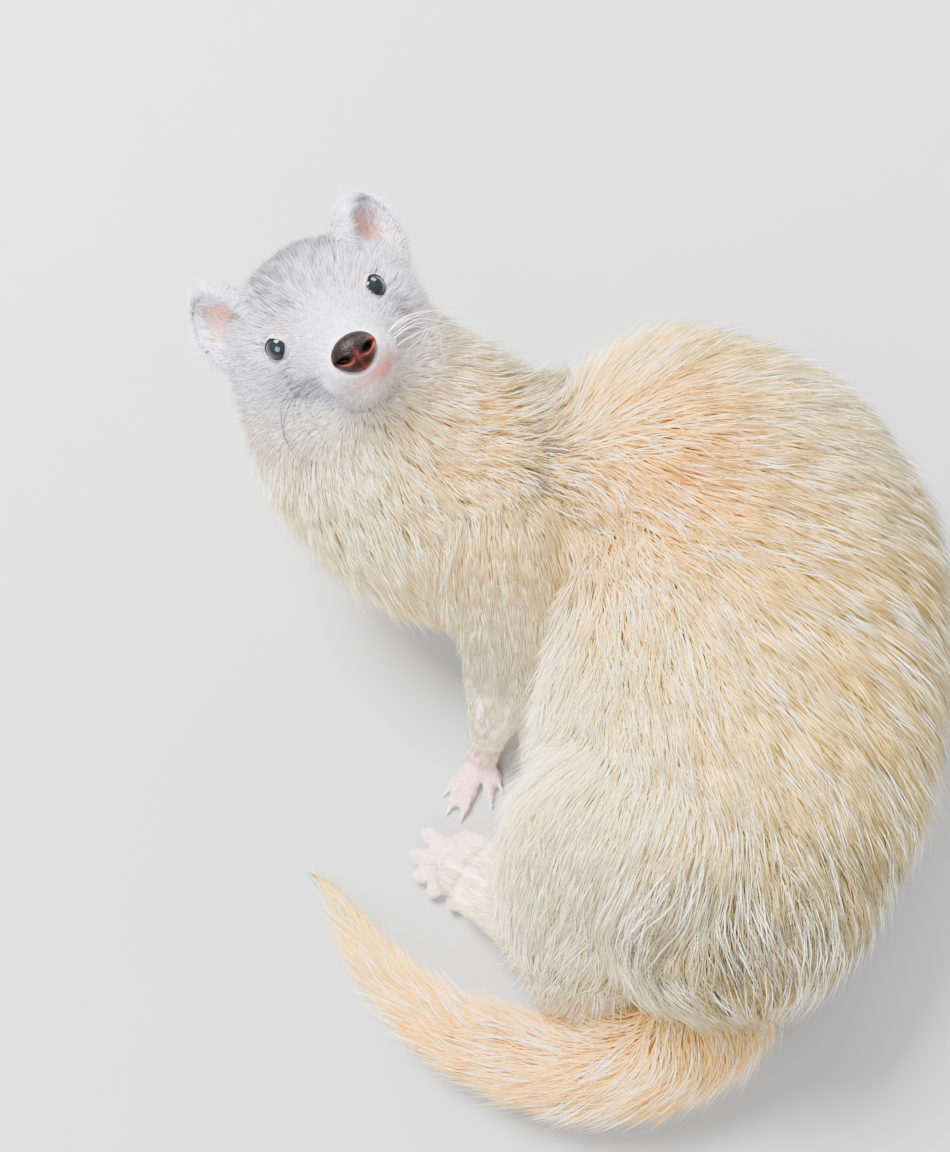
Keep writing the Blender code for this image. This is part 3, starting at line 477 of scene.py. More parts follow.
@dataclass
class Placement:
    """Moves points from the design's millimetres into the shared frame."""

    shift: np.ndarray = field(init=False)
    low: np.ndarray = field(init=False)
    high: np.ndarray = field(init=False)
    margin: float = 0.0145
    soft: float = 3.0

    def __post_init__(self) -> None:
        """Finds the shift from where the left eye's solid is, and how far hairs may reach."""
        low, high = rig.box("eye_left")
        middle = (np.array(low) + np.array(high)) / 2 / MM
        self.shift = middle - HEAD.out(EYE_AT)
        low, high = (np.array(corner) / MM - self.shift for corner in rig.bounds())
        room = (high - low) * self.margin
        self.low, self.high = low - room, high + room
        self.low[2] = FLOOR + 0.05
        LOG.info("shift %s", np.round(self.shift, 3))

    def kept(self, points: np.ndarray) -> np.ndarray:
        """Points of hairs, drawn in softly where they would pass the room that they have."""
        over = np.maximum(points - (self.high - self.soft), 0.0)
        points = points - over + self.soft * (1 - np.exp(-over / self.soft))
        under = np.maximum(self.low + self.soft - points, 0.0) * np.array([1.0, 1.0, 0.0])
        points = points + under - self.soft * (1 - np.exp(-under / self.soft))
        return np.maximum(points, self.low)

    def place(self, points: np.ndarray) -> np.ndarray:
        """Points in metres in the shared frame."""
        return (np.asarray(points) + self.shift) * MM


PLACEMENT = Placement()


def new_object(name: str, mesh: bpy.types.Mesh) -> bpy.types.Object:
    """A new object of this mesh in the scene."""
    obj = bpy.data.objects.new(name, mesh)
    bpy.context.scene.collection.objects.link(obj)
    return obj


def mesh_from(name: str, points: np.ndarray, faces: Faces) -> bpy.types.Mesh:
    """A mesh of these points and faces, in design millimetres."""
    mesh = bpy.data.meshes.new(name)
    mesh.from_pydata([tuple(map(float, p)) for p in points], [], faces)
    mesh.update()
    return mesh


def coords(mesh: bpy.types.Mesh) -> np.ndarray:
    """The mesh's vertex places."""
    found = np.empty(len(mesh.vertices) * 3, np.float32)
    mesh.vertices.foreach_get("co", found)
    return found.reshape(-1, 3).astype(float)


def set_coords(mesh: bpy.types.Mesh, points: np.ndarray) -> None:
    """Moves the mesh's vertices."""
    mesh.vertices.foreach_set("co", points.astype(np.float32).ravel())
    mesh.update()


def settle(obj: bpy.types.Object, slot: Slot, replaces: Sequence[str] = ()) -> bpy.types.Object:
    """Moves a finished piece into the shared frame and ties it to its body.

    Args:
        obj: The piece, still in design millimetres.
        slot: The record's slot that its finish comes from.
        replaces: The solids that it stands for.

    Returns:
        The piece.
    """
    set_coords(obj.data, PLACEMENT.place(coords(obj.data)))
    obj.data.shade_smooth()
    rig.ride(obj, BODY)
    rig.slot(obj, slot.value)
    if replaces:
        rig.replaces(obj, *replaces)
    return obj


@dataclass
class Solid:
    """A growing list of points and faces."""

    points: list[np.ndarray] = field(default_factory=list)
    faces: Faces = field(default_factory=list)
    count: int = 0

    def rings(self, rows: np.ndarray, closed: bool = True) -> None:
        """Adds a skin over rows of points.

        Args:
            rows: Rings of equal numbers of points.
            closed: Whether both ends get a cap.
        """
        many, sides, _ = rows.shape
        base = self.count
        for i in range(many - 1):
            for k in range(sides):
                j = (k + 1) % sides
                low, high = base + i * sides, base + (i + 1) * sides
                self.faces.append((low + k, low + j, high + j, high + k))
        if closed:
            self.faces.append(tuple(base + k for k in range(sides))[::-1])
            self.faces.append(tuple(base + (many - 1) * sides + k for k in range(sides)))
        self.points.append(rows.reshape(-1, 3))
        self.count += many * sides

    def mesh(self, name: str) -> bpy.types.Mesh:
        """The mesh of all that was added."""
        return mesh_from(name, np.concatenate(self.points), self.faces)


def tube_rows(
    stations: Stations,
    shrink: float = 0.0,
    lies: bool = False,
    sides: int = 28,
    steps: int = 5,
    bulge: float = 0.8,
) -> np.ndarray:
    """Rings of a tube with rounded ends.

    Args:
        stations: The tube's stations.
        shrink: The share of the coat's depth that the surface lies inside the tips.
        lies: Whether the coat under the tube is pressed flat, so the inset is from above.
        sides: Points of a ring.
        steps: Rings from one station to the next.
        bulge: How far an end rounds out, as a share of its smaller radius.

    Returns:
        The rings, as rows of points.
    """
    t = np.linspace(0, 1, steps * (len(stations) - 1) + 1)
    values = curve_at(stations, t)
    way = headings(stations, t)
    inset = shrink * values[:, 5]
    sunk = inset / 2 if lies else inset * 0
    centre = values[:, :3] - UP * sunk[:, None]
    wide, tall = values[:, 3] - inset, values[:, 4] - inset + sunk
    angles = np.pi / 2 * np.array([0.97, 0.75, 0.5, 0.25])
    rows = []

    def ring(middle: np.ndarray, direction: np.ndarray, across: float, high: float) -> np.ndarray:
        """One ring square to the direction."""
        side = np.cross(direction, UP)
        side = unit(side) if np.linalg.norm(side) > 1e-3 else np.array([1.0, 0, 0])
        upright = np.cross(side, direction)
        turn = 2 * np.pi * np.arange(sides)[:, None] / sides
        return middle + side * across * np.cos(turn) + upright * high * np.sin(turn)

    for angle in angles:
        reach = bulge * min(wide[0], tall[0]) * math.sin(angle)
        share = math.cos(angle)
        rows.append(ring(centre[0] - way[0] * reach, way[0], wide[0] * share, tall[0] * share))
    for i in range(len(t)):
        rows.append(ring(centre[i], way[i], wide[i], tall[i]))
    for angle in angles[::-1]:
        reach = bulge * min(wide[-1], tall[-1]) * math.sin(angle)
        share = math.cos(angle)
        rows.append(ring(centre[-1] + way[-1] * reach, way[-1], wide[-1] * share, tall[-1] * share))
    return np.array(rows)


def ball_rows(radii: Sequence[float], sides: int = 28, rings: int = 18) -> np.ndarray:
    """Rings of an ellipsoid round the origin."""
    lean = np.pi * (np.arange(rings) + 0.08) / (rings - 1 + 0.16)
    turn = 2 * np.pi * np.arange(sides) / sides
    x = np.sin(lean)[:, None] * np.cos(turn)
    y = np.sin(lean)[:, None] * np.sin(turn)
    z = np.repeat(-np.cos(lean)[:, None], sides, axis=1)
    return np.stack([x, y, z], axis=-1) * np.asarray(radii, float)


@dataclass
class Form:
    """The flesh under the coat, or with no inset the outline of the coat's tips."""

    inset: float
    core: float

    def build(self, name: str, voxel: float, rounds: int, triangles: int) -> bpy.types.Object:
        """Fuses all the body's tubes and balls into one surface.

        Args:
            name: The object's name.
            voxel: The size of the fusing grid.
            rounds: Rounds of smoothing.
            triangles: How many triangles to keep.

        Returns:
            The fused object, in design millimetres.
        """
        solid = Solid()
        core = self.core
        solid.rings(tube_rows(NECK, core))
        solid.rings(tube_rows(TRUNK, core, True, bulge=0.4))
        solid.rings(tube_rows(TAIL, core, True))
        for leg in (FORELEG_LEFT, FORELEG_RIGHT, HINDLEG_LEFT, HINDLEG_RIGHT):
            solid.rings(tube_rows(leg, core, bulge=0.5, sides=24))
        for centre, radii, depth in SKULL:
            rows = ball_rows(np.array(radii) - depth * self.inset) + np.array(centre)
            solid.rings(HEAD.out(rows.reshape(-1, 3)).reshape(rows.shape))
        for line in (MUZZLE, JAW):
            rows = tube_rows(line, self.inset)
            solid.rings(HEAD.out(rows.reshape(-1, 3)).reshape(rows.shape))
        for paw in PAWS.values():
            self.add_paw(solid, paw)
        obj = new_object(name, solid.mesh(name))
        remesh = obj.modifiers.new("fuse", "REMESH")
        remesh.mode = "VOXEL"
        remesh.voxel_size = voxel
        ease = obj.modifiers.new("ease", "SMOOTH")
        ease.factor = 0.5
        ease.iterations = rounds
        apply_modifiers(obj)
        self.keep_largest(obj)
        thin = obj.modifiers.new("thin", "DECIMATE")
        thin.ratio = min(1.0, triangles / (2 * len(obj.data.polygons)))
        return apply_modifiers(obj)

    @staticmethod
    def add_paw(solid: Solid, paw: Paw) -> None:
        """Adds a palm and its digits."""
        palm = np.array(paw.palm)
        solid.rings(ball_rows(paw.size, 20, 12) + palm)
        for tip in paw.tips:
            end, knuckle, root, _ = digit_line(paw, tip)
            thick = paw.thick
            digit = (
                (*root, thick * 1.1, thick, 0),
                (*knuckle, thick * 1.02, thick, 0),
                (*end, thick * 0.82, thick * 0.8, 0),
            )
            solid.rings(tube_rows(digit, sides=12, steps=4))

    @staticmethod
    def keep_largest(obj: bpy.types.Object) -> None:
        """Drops loose scraps, such as a hollow's inner wall."""
        shape = bmesh.new()
        shape.from_mesh(obj.data)
        left = set(shape.verts)
        best: set = set()
        while left:
            edge = [left.pop()]
            found = set(edge)
            while edge:
                for link in edge.pop().link_edges:
                    for vert in link.verts:
                        if vert in left:
                            left.remove(vert)
                            found.add(vert)
                            edge.append(vert)
            best = max(best, found, key=len)
        bmesh.ops.delete(shape, geom=[v for v in shape.verts if v not in best], context="VERTS")
        shape.to_mesh(obj.data)
        shape.free()


def apply_modifiers(obj: bpy.types.Object) -> bpy.types.Object:
    """Replaces the object's mesh by the evaluated one and drops its modifiers."""
    graph = bpy.context.evaluated_depsgraph_get()
    graph.update()
    mesh = bpy.data.meshes.new_from_object(obj.evaluated_get(graph))
    obj.modifiers.clear()
    obj.data = mesh
    return obj


def digit_line(paw: Paw, tip: Sequence[float]) -> tuple[np.ndarray, np.ndarray, np.ndarray, np.ndarray]:
    """Where a digit ends, bends and starts, and the way its claw points."""
    palm, claw_tip = np.array(paw.palm, float), np.array(tip, float)
    away = claw_tip - palm
    away[2] = 0.0
    away = unit(away)
    end = claw_tip - away * paw.claw * 0.8
    end[2] = claw_tip[2] + paw.thick * 0.7
    knuckle = palm + (end - palm) * 0.55
    knuckle[2] = end[2] + paw.thick * 0.8
    return end, knuckle, palm + (end - palm) * 0.1, away


TUBES = (
    (Region.NECK, NECK),
    (Region.TRUNK, TRUNK),
    (Region.TAIL, TAIL),
    (Region.ARM, FORELEG_LEFT[:3]),
    (Region.LEG, FORELEG_LEFT[2:]),
    (Region.LEG, FORELEG_RIGHT),
    (Region.HAUNCH, HINDLEG_LEFT[:4]),
    (Region.LEG, HINDLEG_LEFT[3:]),
    (Region.LEG, HINDLEG_RIGHT[1:]),
)


@dataclass
class Skeleton:
    """Samples of every tube, and which of them each point of the skin belongs to."""

    samples: int = 30
    centres: np.ndarray = field(init=False)
    ways: np.ndarray = field(init=False)
    sizes: np.ndarray = field(init=False)
    regions: np.ndarray = field(init=False)

    def __post_init__(self) -> None:
        """Samples the tubes, and adds the paws as short ones."""
        t = np.linspace(0, 1, self.samples)
        centres, ways, sizes, regions = [], [], [], []
        for region, stations in TUBES:
            values = curve_at(stations, t)
            centres.append(values[:, :3])
            ways.append(headings(stations, t))
            sizes.append((values[:, 3] + values[:, 4]) / 2 - values[:, 5] / 2)
            regions.append(np.full(len(t), region.value))
        for paw in PAWS.values():
            for tip in paw.tips:
                end, knuckle, root, away = digit_line(paw, tip)
                line = np.array([root, knuckle, end])
                centres.append(line)
                ways.append(np.stack([unit(knuckle - root), unit(end - knuckle), away]))
                sizes.append(np.array([paw.size[2], paw.thick * 2.2, paw.thick * 2.2]))
                regions.append(np.full(3, Region.PAW.value))
        self.centres = np.concatenate(centres)
        self.ways = np.concatenate(ways)
        self.sizes = np.concatenate(sizes)
        self.regions = np.concatenate(regions)

    def read(self, points: np.ndarray, normals: np.ndarray) -> tuple[np.ndarray, np.ndarray]:
        """Blends the tubes' directions and regions at points of the skin.

        Args:
            points: Places on the skin.
            normals: The skin's normals there.

        Returns:
            The lie of the coat at each point, and each region's share there.
        """
        flow = np.zeros_like(points)
        shares = np.zeros((len(points), len(Region)))
        for start in range(0, len(points), 20000):
            part = slice(start, start + 20000)
            offset = points[part, None, :] - self.centres[None, :, :]
            ratio = np.linalg.norm(offset, axis=2) / self.sizes
            weight = (ratio / ratio.min(axis=1, keepdims=True)) ** -14.0
            weight /= weight.sum(axis=1, keepdims=True)
            outward = offset.copy()
            outward[:, :, 2] = 0.0
            outward = unit(outward)
            for region in Region:
                mine = self.regions == region.value
                if not mine.any():
                    continue
                share = weight[:, mine]
                shares[part, region.value] = share.sum(axis=1)
                lie = self.ways[mine][None] + outward[:, mine] * STYLES[region].sweep
                flow[part] += (lie * share[:, :, None]).sum(axis=1)
            flow[part] = self.combed(points[part], flow[part], shares[part])
        head = self.head_share(points)
        shares *= (1 - head)[:, None]
        shares[:, Region.HEAD.value] = head
        swept = HEAD.turned(self.head_flow(HEAD.into(points)))
        flow = unit(flow) * (1 - head)[:, None] + swept * head[:, None]
        flow -= normals * (flow * normals).sum(axis=1, keepdims=True)
        return unit(flow), shares

    @staticmethod
    def combed(points: np.ndarray, flow: np.ndarray, shares: np.ndarray) -> np.ndarray:
        """Turns the body's fur to spread from the whorl and to lie back."""
        trunk = shares[:, [Region.TRUNK.value]]
        haunch = shares[:, [Region.HAUNCH.value]]
        spread = np.zeros_like(points)
        spread[:, :2] = unit(points[:, :2] - WHORL)
        spread[:, 1] -= BACKWARD
        swept = unit(spread) + haunch * np.array([-0.45, 0.0, 0.0])
        near_tail = np.exp(-((np.linalg.norm(points - TAIL_ROOT, axis=1) / 26) ** 2))[:, None]
        cover = np.clip(trunk + haunch, 0, 1) * 0.85 * (1 - 0.9 * near_tail)
        return unit(flow) * (1 - cover) + unit(swept) * cover

    @staticmethod
    def head_share(points: np.ndarray, low: float = -4.0, high: float = 7.0) -> np.ndarray:
        """How far each point belongs to the head rather than the neck, from 0 to 1."""
        local = HEAD.into(points)
        along = local @ np.array([0.45, 0.0, 0.89]) - np.array([-24, 0, -19]) @ np.array([0.45, 0, 0.89])
        near = np.linalg.norm(local - np.array([-10.0, 0, -5]), axis=1)
        return smooth_step(low, high, along) * (1 - smooth_step(48, 60, near))

    @staticmethod
    def head_flow(local: np.ndarray) -> np.ndarray:
        """The lie of the face's fur in the head's frame: away from the nose."""
        away = local - np.array([34.0, 0.0, -10.0])
        back = np.tile([-1.0, 0.0, 0.0], (len(local), 1))
        side = unit(away * np.array([0.15, 1.0, 1.0]))
        return unit(back + side * 0.55)


SKELETON = Skeleton()


@dataclass(frozen=True)
class Spot:
    """A soft patch of another colour.

    Sizes are in millimetres: the middle of the patch, its reach on each axis, and how strongly
    it covers what is there.
    """

    at: tuple[float, float, float]
    reach: tuple[float, float, float]
    colour: Colour
    strength: float


CREAM: Colour = (0.97, 0.68, 0.15)
APRICOT: Colour = (1.0, 0.46, 0.018)
PALE: Colour = (0.98, 0.86, 0.50)
WHITE: Colour = (0.98, 0.95, 0.80)
TIP: Colour = (0.99, 0.88, 0.54)
FACE_WHITE: Colour = (0.65, 0.64, 0.71)
ASH: Colour = (0.72, 0.71, 0.64)
GREY: Colour = (0.13, 0.128, 0.14)
SOOT: Colour = (0.05, 0.045, 0.045)
PINK: Colour = (0.92, 0.43, 0.50)
LIP: Colour = (0.86, 0.32, 0.35)
# Painted shade, with the darker tone of grizzled hairs: a dark tan laid on the hip, the rump, the back's edge, by the
# tail's root and along the flank.
SHADE_AND_GRIZZLE: Colour = (0.29, 0.24, 0.165)

BODY_SPOTS = (
    Spot((47, 12, 88), (33, 27, 40), APRICOT, 0.85),
    Spot((94, 32, 80), (26, 30, 40), PALE, 0.8),
    Spot((90, -30, 80), (34, 50, 40), APRICOT, 0.15),
    Spot((-10, 30, 90), (24, 21, 28), APRICOT, 0.75),
    Spot((20, -132, 16), (80, 24, 34), APRICOT, 0.95),
    Spot((70, -116, 40), (26, 16, 30), APRICOT, 0.5),
    Spot((25, -60, 60), (26, 50, 60), PALE, 0.9),
    Spot((35, -95, 60), (26, 30, 40), PALE, 0.8),
    # Painted light: the haunch is whitened so that it reads lighter.
    Spot((20, -98, 62), (18, 20, 34), WHITE, 0.5),
    Spot((-40, 14, 66), (24, 34, 50), PALE, 0.95),
    Spot((120, -30, 40), (14, 90, 50), PALE, 0.5),
    Spot((6, -25, 45), (18, 34, 40), ASH, 0.95),
    # Painted shade, with the darker tone of grizzled hairs, on the hip, the rump and by the tail's root.
    Spot((66, -98, 74), (30, 20, 44), SHADE_AND_GRIZZLE, 0.85),
    Spot((100, -84, 52), (22, 30, 44), SHADE_AND_GRIZZLE, 0.75),
    Spot((34, -116, 40), (18, 11, 24), SHADE_AND_GRIZZLE, 0.45),
    # Grey hairs with painted shade along the crease between the nape and the back.
    Spot((5, 47, 78), (15, 16, 20), GREY, 0.5),
    Spot((10, 30, 84), (6, 12, 16), GREY, 0.4),
    Spot((9.5, 11, 86), (4.5, 11, 16), GREY, 0.4),
    Spot((17, -6, 86), (4.5, 11, 16), GREY, 0.3),
    # Painted shade, with the darker tone of grizzled hairs, further along that line and on the back's edge.
    Spot((22, -25, 84), (4.5, 12, 16), SHADE_AND_GRIZZLE, 0.4),
    Spot((108, -18, 70), (12, 40, 30), SHADE_AND_GRIZZLE, 0.25),
    Spot((-6, -78, 9), (14, 15, 12), PINK, 0.95),
)
HEAD_SPOTS = (
    Spot((-10, 0, -38), (34, 44, 11), PALE, 0.95),
    Spot((-42, 0, -6), (17, 44, 34), ASH, 0.85),
    Spot((-18, -24, -22), (16, 12, 13), ASH, 0.7),
    Spot((-18, 24, -22), (16, 12, 13), ASH, 0.7),
    Spot((-14, 3, 22), (11, 20, 12), GREY, 0.95),
    Spot((-34, 0, 14), (12, 22, 20), GREY, 0.25),
    Spot((-4, -2, 9), (8, 9, 8), GREY, 0.3),
    Spot((3, -19.5, -9), (4, 4, 4.5), GREY, 0.85),
    Spot((2, 20, -7), (4, 4, 4.5), GREY, 0.8),
    Spot((23, 1.5, -17.5), (5.0, 6.0, 3.0), LIP, 1.0),
    Spot((20, 6, -19), (6, 5, 2.8), LIP, 0.8),
    Spot((20, -6, -20), (6, 3.5, 2.5), LIP, 0.5),
    Spot((3.6, 10, 1.5), (2.4, 2.4, 2.4), PINK, 0.7),
    Spot((3.6, -10, 1.5), (2.4, 2.4, 2.4), PINK, 0.7),
)


class Markings:
    """The colours of skin and coat, as functions of the place on the animal."""

    @staticmethod
    def spots(local: np.ndarray, colour: np.ndarray, marks: Iterable[Spot]) -> np.ndarray:
        """Lays soft patches over a colour."""
        for spot in marks:
            offset = (local - np.array(spot.at)) / np.array(spot.reach)
            cover = spot.strength * np.exp(-(offset**2).sum(axis=1))[:, None]
            colour = colour * (1 - cover) + np.array(spot.colour) * cover
        return colour

    @classmethod
    def base(cls, points: np.ndarray, shares: np.ndarray) -> np.ndarray:
        """The coat's middle colour at places on the skin.

        Args:
            points: Places on the skin.
            shares: Each region's share at each place.

        Returns:
            One colour for each place.
        """
        body = cls.spots(points, np.tile(CREAM, (len(points), 1)), BODY_SPOTS)
        head = cls.spots(HEAD.into(points), np.tile(FACE_WHITE, (len(points), 1)), HEAD_SPOTS)
        share = SKELETON.head_share(points, -14.0, 16.0)[:, None]
        leg = shares[:, [Region.LEG.value]] * 0.6
        paw = shares[:, [Region.PAW.value]]
        body = body * (1 - leg) + np.array(WHITE) * leg
        body = body * (1 - paw) + np.array(PINK) * paw
        return body * (1 - share) + head * share


@dataclass(frozen=True)
class Finish:
    """A surface: a colour or the painted markings, mottled and rough, with a fine bump."""

    name: str
    colour: Colour | None
    roughness: float
    mottle: float = 0.08
    grain: float = 900.0
    bump: float = 0.15
    depth: float = 0.0002
    sheen: float = 0.0
    coat: float = 0.0
    subsurface: float = 0.0
    specular: float = 0.5

    def material(self) -> bpy.types.Material:
        """The material, made once."""
        found = bpy.data.materials.get(self.name)
        if found:
            return found
        made = bpy.data.materials.new(self.name)
        made.use_nodes = True
        nodes, links = made.node_tree.nodes, made.node_tree.links
        shader = nodes["Principled BSDF"]
        shader.inputs["Roughness"].default_value = self.roughness
        shader.inputs["Sheen Weight"].default_value = self.sheen
        shader.inputs["Coat Weight"].default_value = self.coat
        shader.inputs["Subsurface Weight"].default_value = self.subsurface
        shader.inputs["Specular IOR Level"].default_value = self.specular
        shader.inputs["Subsurface Radius"].default_value = (0.003, 0.0015, 0.001)
        shader.inputs["Subsurface Scale"].default_value = 1.0
        where = nodes.new("ShaderNodeTexCoord")
        noise = nodes.new("ShaderNodeTexNoise")
        noise.inputs["Scale"].default_value = self.grain
        noise.inputs["Detail"].default_value = 3.0
        links.new(where.outputs["Object"], noise.inputs["Vector"])
        mix = nodes.new("ShaderNodeMix")
        mix.data_type = "RGBA"
        mix.blend_type = "MULTIPLY"
        mix.inputs["Factor"].default_value = self.mottle
        if self.colour is None:
            paint = nodes.new("ShaderNodeAttribute")
            paint.attribute_name = COLOUR_LAYER
            links.new(paint.outputs["Color"], mix.inputs["A"])
        else:
            mix.inputs["A"].default_value = (*self.colour, 1.0)
        links.new(noise.outputs["Fac"], mix.inputs["B"])
        links.new(mix.outputs["Result"], shader.inputs["Base Color"])
        bump = nodes.new("ShaderNodeBump")
        bump.inputs["Strength"].default_value = self.bump
        bump.inputs["Distance"].default_value = self.depth
        links.new(noise.outputs["Fac"], bump.inputs["Height"])
        links.new(bump.outputs["Normal"], shader.inputs["Normal"])
        return made


SKIN_FINISH = Finish("undercoat", None, 0.8, mottle=0.1, grain=600, bump=0.4)
FUR_FINISH = Finish("guard_hair", None, 0.6, mottle=0.04, grain=300, bump=0.0, specular=0.15)
NOSE_FINISH = Finish("nose_leather", None, 0.38, mottle=0.6, grain=1600, bump=1.0, specular=0.09)
EYE_FINISH = Finish("dark_eye", (0.006, 0.009, 0.011), 0.07, mottle=0.3, grain=200, bump=0.0, specular=0.35)
LID_FINISH = Finish("lid_skin", None, 0.5, mottle=0.3, grain=1500, bump=0.3)
LIP_FINISH = Finish("lip_skin", None, 0.45, mottle=0.3, grain=1500, bump=0.3, subsurface=0.1)
LINE_FINISH = Finish("mouth_line", None, 0.6, mottle=0.3, grain=1500, bump=0.2)
CLAW_FINISH = Finish("claw_horn", (0.90, 0.80, 0.74), 0.35, mottle=0.3, grain=1200, bump=0.1, coat=0.2)
WHISKER_DARK = Finish("whisker_dark", (0.05, 0.045, 0.045), 0.4, bump=0.0)
WHISKER_PALE = Finish("whisker_pale", (0.85, 0.83, 0.80), 0.4, bump=0.0)
EAR_FINISH = Finish("ear_skin", None, 0.6, mottle=0.2, grain=1300, bump=0.3, subsurface=0.15)
FLOOR_FINISH = Finish("studio_floor", (0.335, 0.335, 0.34), 0.85, mottle=0.04, grain=40, bump=0.05)


def paint(mesh: bpy.types.Mesh, colours: np.ndarray) -> None:
    """Stores a colour for each vertex in the layer that the finishes read."""
    layer = mesh.color_attributes.new(COLOUR_LAYER, "FLOAT_COLOR", "POINT")
    values = np.ones((len(colours), 4), np.float32)
    values[:, :3] = np.clip(colours, 0.0, 1.0)
    layer.data.foreach_set("color", values.ravel())


def eased(values: np.ndarray, corners: np.ndarray, rounds: int) -> np.ndarray:
    """Values of vertices, smoothed over the edges of their triangles."""
    pairs = np.concatenate([corners[:, [0, 1]], corners[:, [1, 2]], corners[:, [2, 0]]])
    many = len(values)
    count = np.maximum(np.bincount(pairs.ravel(), minlength=many), 1)
    flat = values.reshape(many, -1).copy()
    for _ in range(rounds):
        for column in range(flat.shape[1]):
            data = flat[:, column]
            total = np.bincount(pairs[:, 0], data[pairs[:, 1]], many)
            total += np.bincount(pairs[:, 1], data[pairs[:, 0]], many)
            flat[:, column] = (data + total / count) / 2
    return flat.reshape(values.shape)


@dataclass
class Surface:
    """A skin that hair grows from: its tree, and the coat's fields at its vertices."""

    obj: bpy.types.Object
    outline: BVHTree | None
    tree: BVHTree = field(init=False)
    points: np.ndarray = field(init=False)
    normals: np.ndarray = field(init=False)
    corners: np.ndarray = field(init=False)
    areas: np.ndarray = field(init=False)
    flow: np.ndarray = field(init=False)
    shares: np.ndarray = field(init=False)
    depth: np.ndarray = field(init=False)

    def __post_init__(self) -> None:
        """Reads the mesh and works the fields out."""
        mesh = self.obj.data
        self.points = coords(mesh)
        self.normals = np.empty(len(mesh.vertices) * 3, np.float32)
        mesh.vertex_normals.foreach_get("vector", self.normals)
        self.normals = self.normals.reshape(-1, 3).astype(float)
        mesh.calc_loop_triangles()
        corners = np.empty(len(mesh.loop_triangles) * 3, np.int32)
        mesh.loop_triangles.foreach_get("vertices", corners)
        self.corners = corners.reshape(-1, 3)
        a, b, c = (self.points[self.corners[:, k]] for k in range(3))
        self.areas = np.linalg.norm(np.cross(b - a, c - a), axis=1) / 2
        self.tree = BVHTree.FromPolygons(self.points.tolist(), self.corners.tolist())
        self.flow, self.shares = SKELETON.read(self.points, self.normals)
        if self.outline is None:
            self.depth = np.full(len(self.points), 1.0)
        else:
            find = self.outline.find_nearest
            self.depth = np.array([find(p)[3] for p in self.points.tolist()])
        self.depth = eased(self.depth, self.corners, 6)
        self.flow = unit(eased(self.flow, self.corners, 6))

    def style(self, name: str) -> np.ndarray:
        """One number of the coat's style at each vertex, blended over the regions."""
        row = np.array([getattr(STYLES[region], name) for region in Region])
        return self.shares @ row

    def sow(self, weight: np.ndarray, count: int, rng: np.random.Generator) -> tuple[np.ndarray, ...]:
        """Scatters roots over the skin.

        Args:
            weight: How dense the roots stand at each vertex.
            count: How many roots.
            rng: The seeded source of chance.

        Returns:
            The roots, the triangle of each, and their weights on its corners.
        """
        share = self.areas * weight[self.corners].mean(axis=1)
        total = np.cumsum(share)
        slots = (np.arange(count) + rng.random(count)) / count * total[-1]
        face = np.minimum(np.searchsorted(total, slots), len(total) - 1)
        u, v = np.sort(rng.random((2, count)), axis=0)
        bary = np.stack([u, v - u, 1 - v], axis=1)
        place = (self.points[self.corners[face]] * bary[:, :, None]).sum(axis=1)
        return place, face, bary

    def at(self, values: np.ndarray, face: np.ndarray, bary: np.ndarray | None = None) -> np.ndarray:
        """Values of the vertices read at places on triangles."""
        picked = values[self.corners[face]]
        if bary is None:
            return picked.mean(axis=1)
        shape = bary if picked.ndim == 2 else bary[:, :, None]
        return (picked * shape).sum(axis=1)

    def nearest(self, targets: np.ndarray) -> tuple[np.ndarray, np.ndarray]:
        """The nearest place on the skin to each target, and its triangle."""
        find = self.tree.find_nearest
        hits = [find(p) for p in targets.tolist()]
        return np.array([h[0] for h in hits]), np.array([h[2] for h in hits])


@dataclass
class Unwrap:
    """Where each part of the skin lies on the map that the coat's patches use."""

    source: bpy.types.Object
    triangles: int = 9000
    tree: BVHTree = field(init=False)
    maps: np.ndarray = field(init=False)
    points: np.ndarray = field(init=False)

    def __post_init__(self) -> None:
        """Unwraps a thinned copy of the skin."""
        copy = new_object("unwrap", self.source.data.copy())
        thin = copy.modifiers.new("thin", "DECIMATE")
        thin.ratio = self.triangles / max(1, len(copy.data.polygons))
        apply_modifiers(copy)
        bpy.ops.object.select_all(action="DESELECT")
        copy.select_set(True)
        bpy.context.view_layer.objects.active = copy
        bpy.ops.object.mode_set(mode="EDIT")
        bpy.ops.mesh.select_all(action="SELECT")
        bpy.ops.mesh.quads_convert_to_tris()
        bpy.ops.uv.smart_project(angle_limit=math.radians(66), island_margin=0.004)
        bpy.ops.object.mode_set(mode="OBJECT")
        mesh = copy.data
        uv = np.empty(len(mesh.loops) * 2, np.float32)
        mesh.uv_layers.active.data.foreach_get("uv", uv)
        self.maps = uv.reshape(-1, 3, 2).astype(float)
        corners = np.array([p.vertices[:] for p in mesh.polygons])
        self.points = coords(mesh)[corners]
        self.tree = BVHTree.FromPolygons(coords(mesh).tolist(), corners.tolist())
        bpy.data.objects.remove(copy)

    def at(self, places: np.ndarray) -> np.ndarray:
        """The map's place for each place on the skin."""
        find = self.tree.find_nearest
        hits = [find(p) for p in places.tolist()]
        face = np.array([h[2] for h in hits])
        spot = np.array([h[0] for h in hits])
        a, b, c = (self.points[face, k] for k in range(3))
        area = np.linalg.norm(np.cross(b - a, c - a), axis=1) + 1e-12
        u = np.linalg.norm(np.cross(b - spot, c - spot), axis=1) / area
        v = np.linalg.norm(np.cross(c - spot, a - spot), axis=1) / area
        bary = np.stack([u, v, np.clip(1 - u - v, 0, 1)], axis=1)
        return (self.maps[face] * bary[:, :, None]).sum(axis=1)


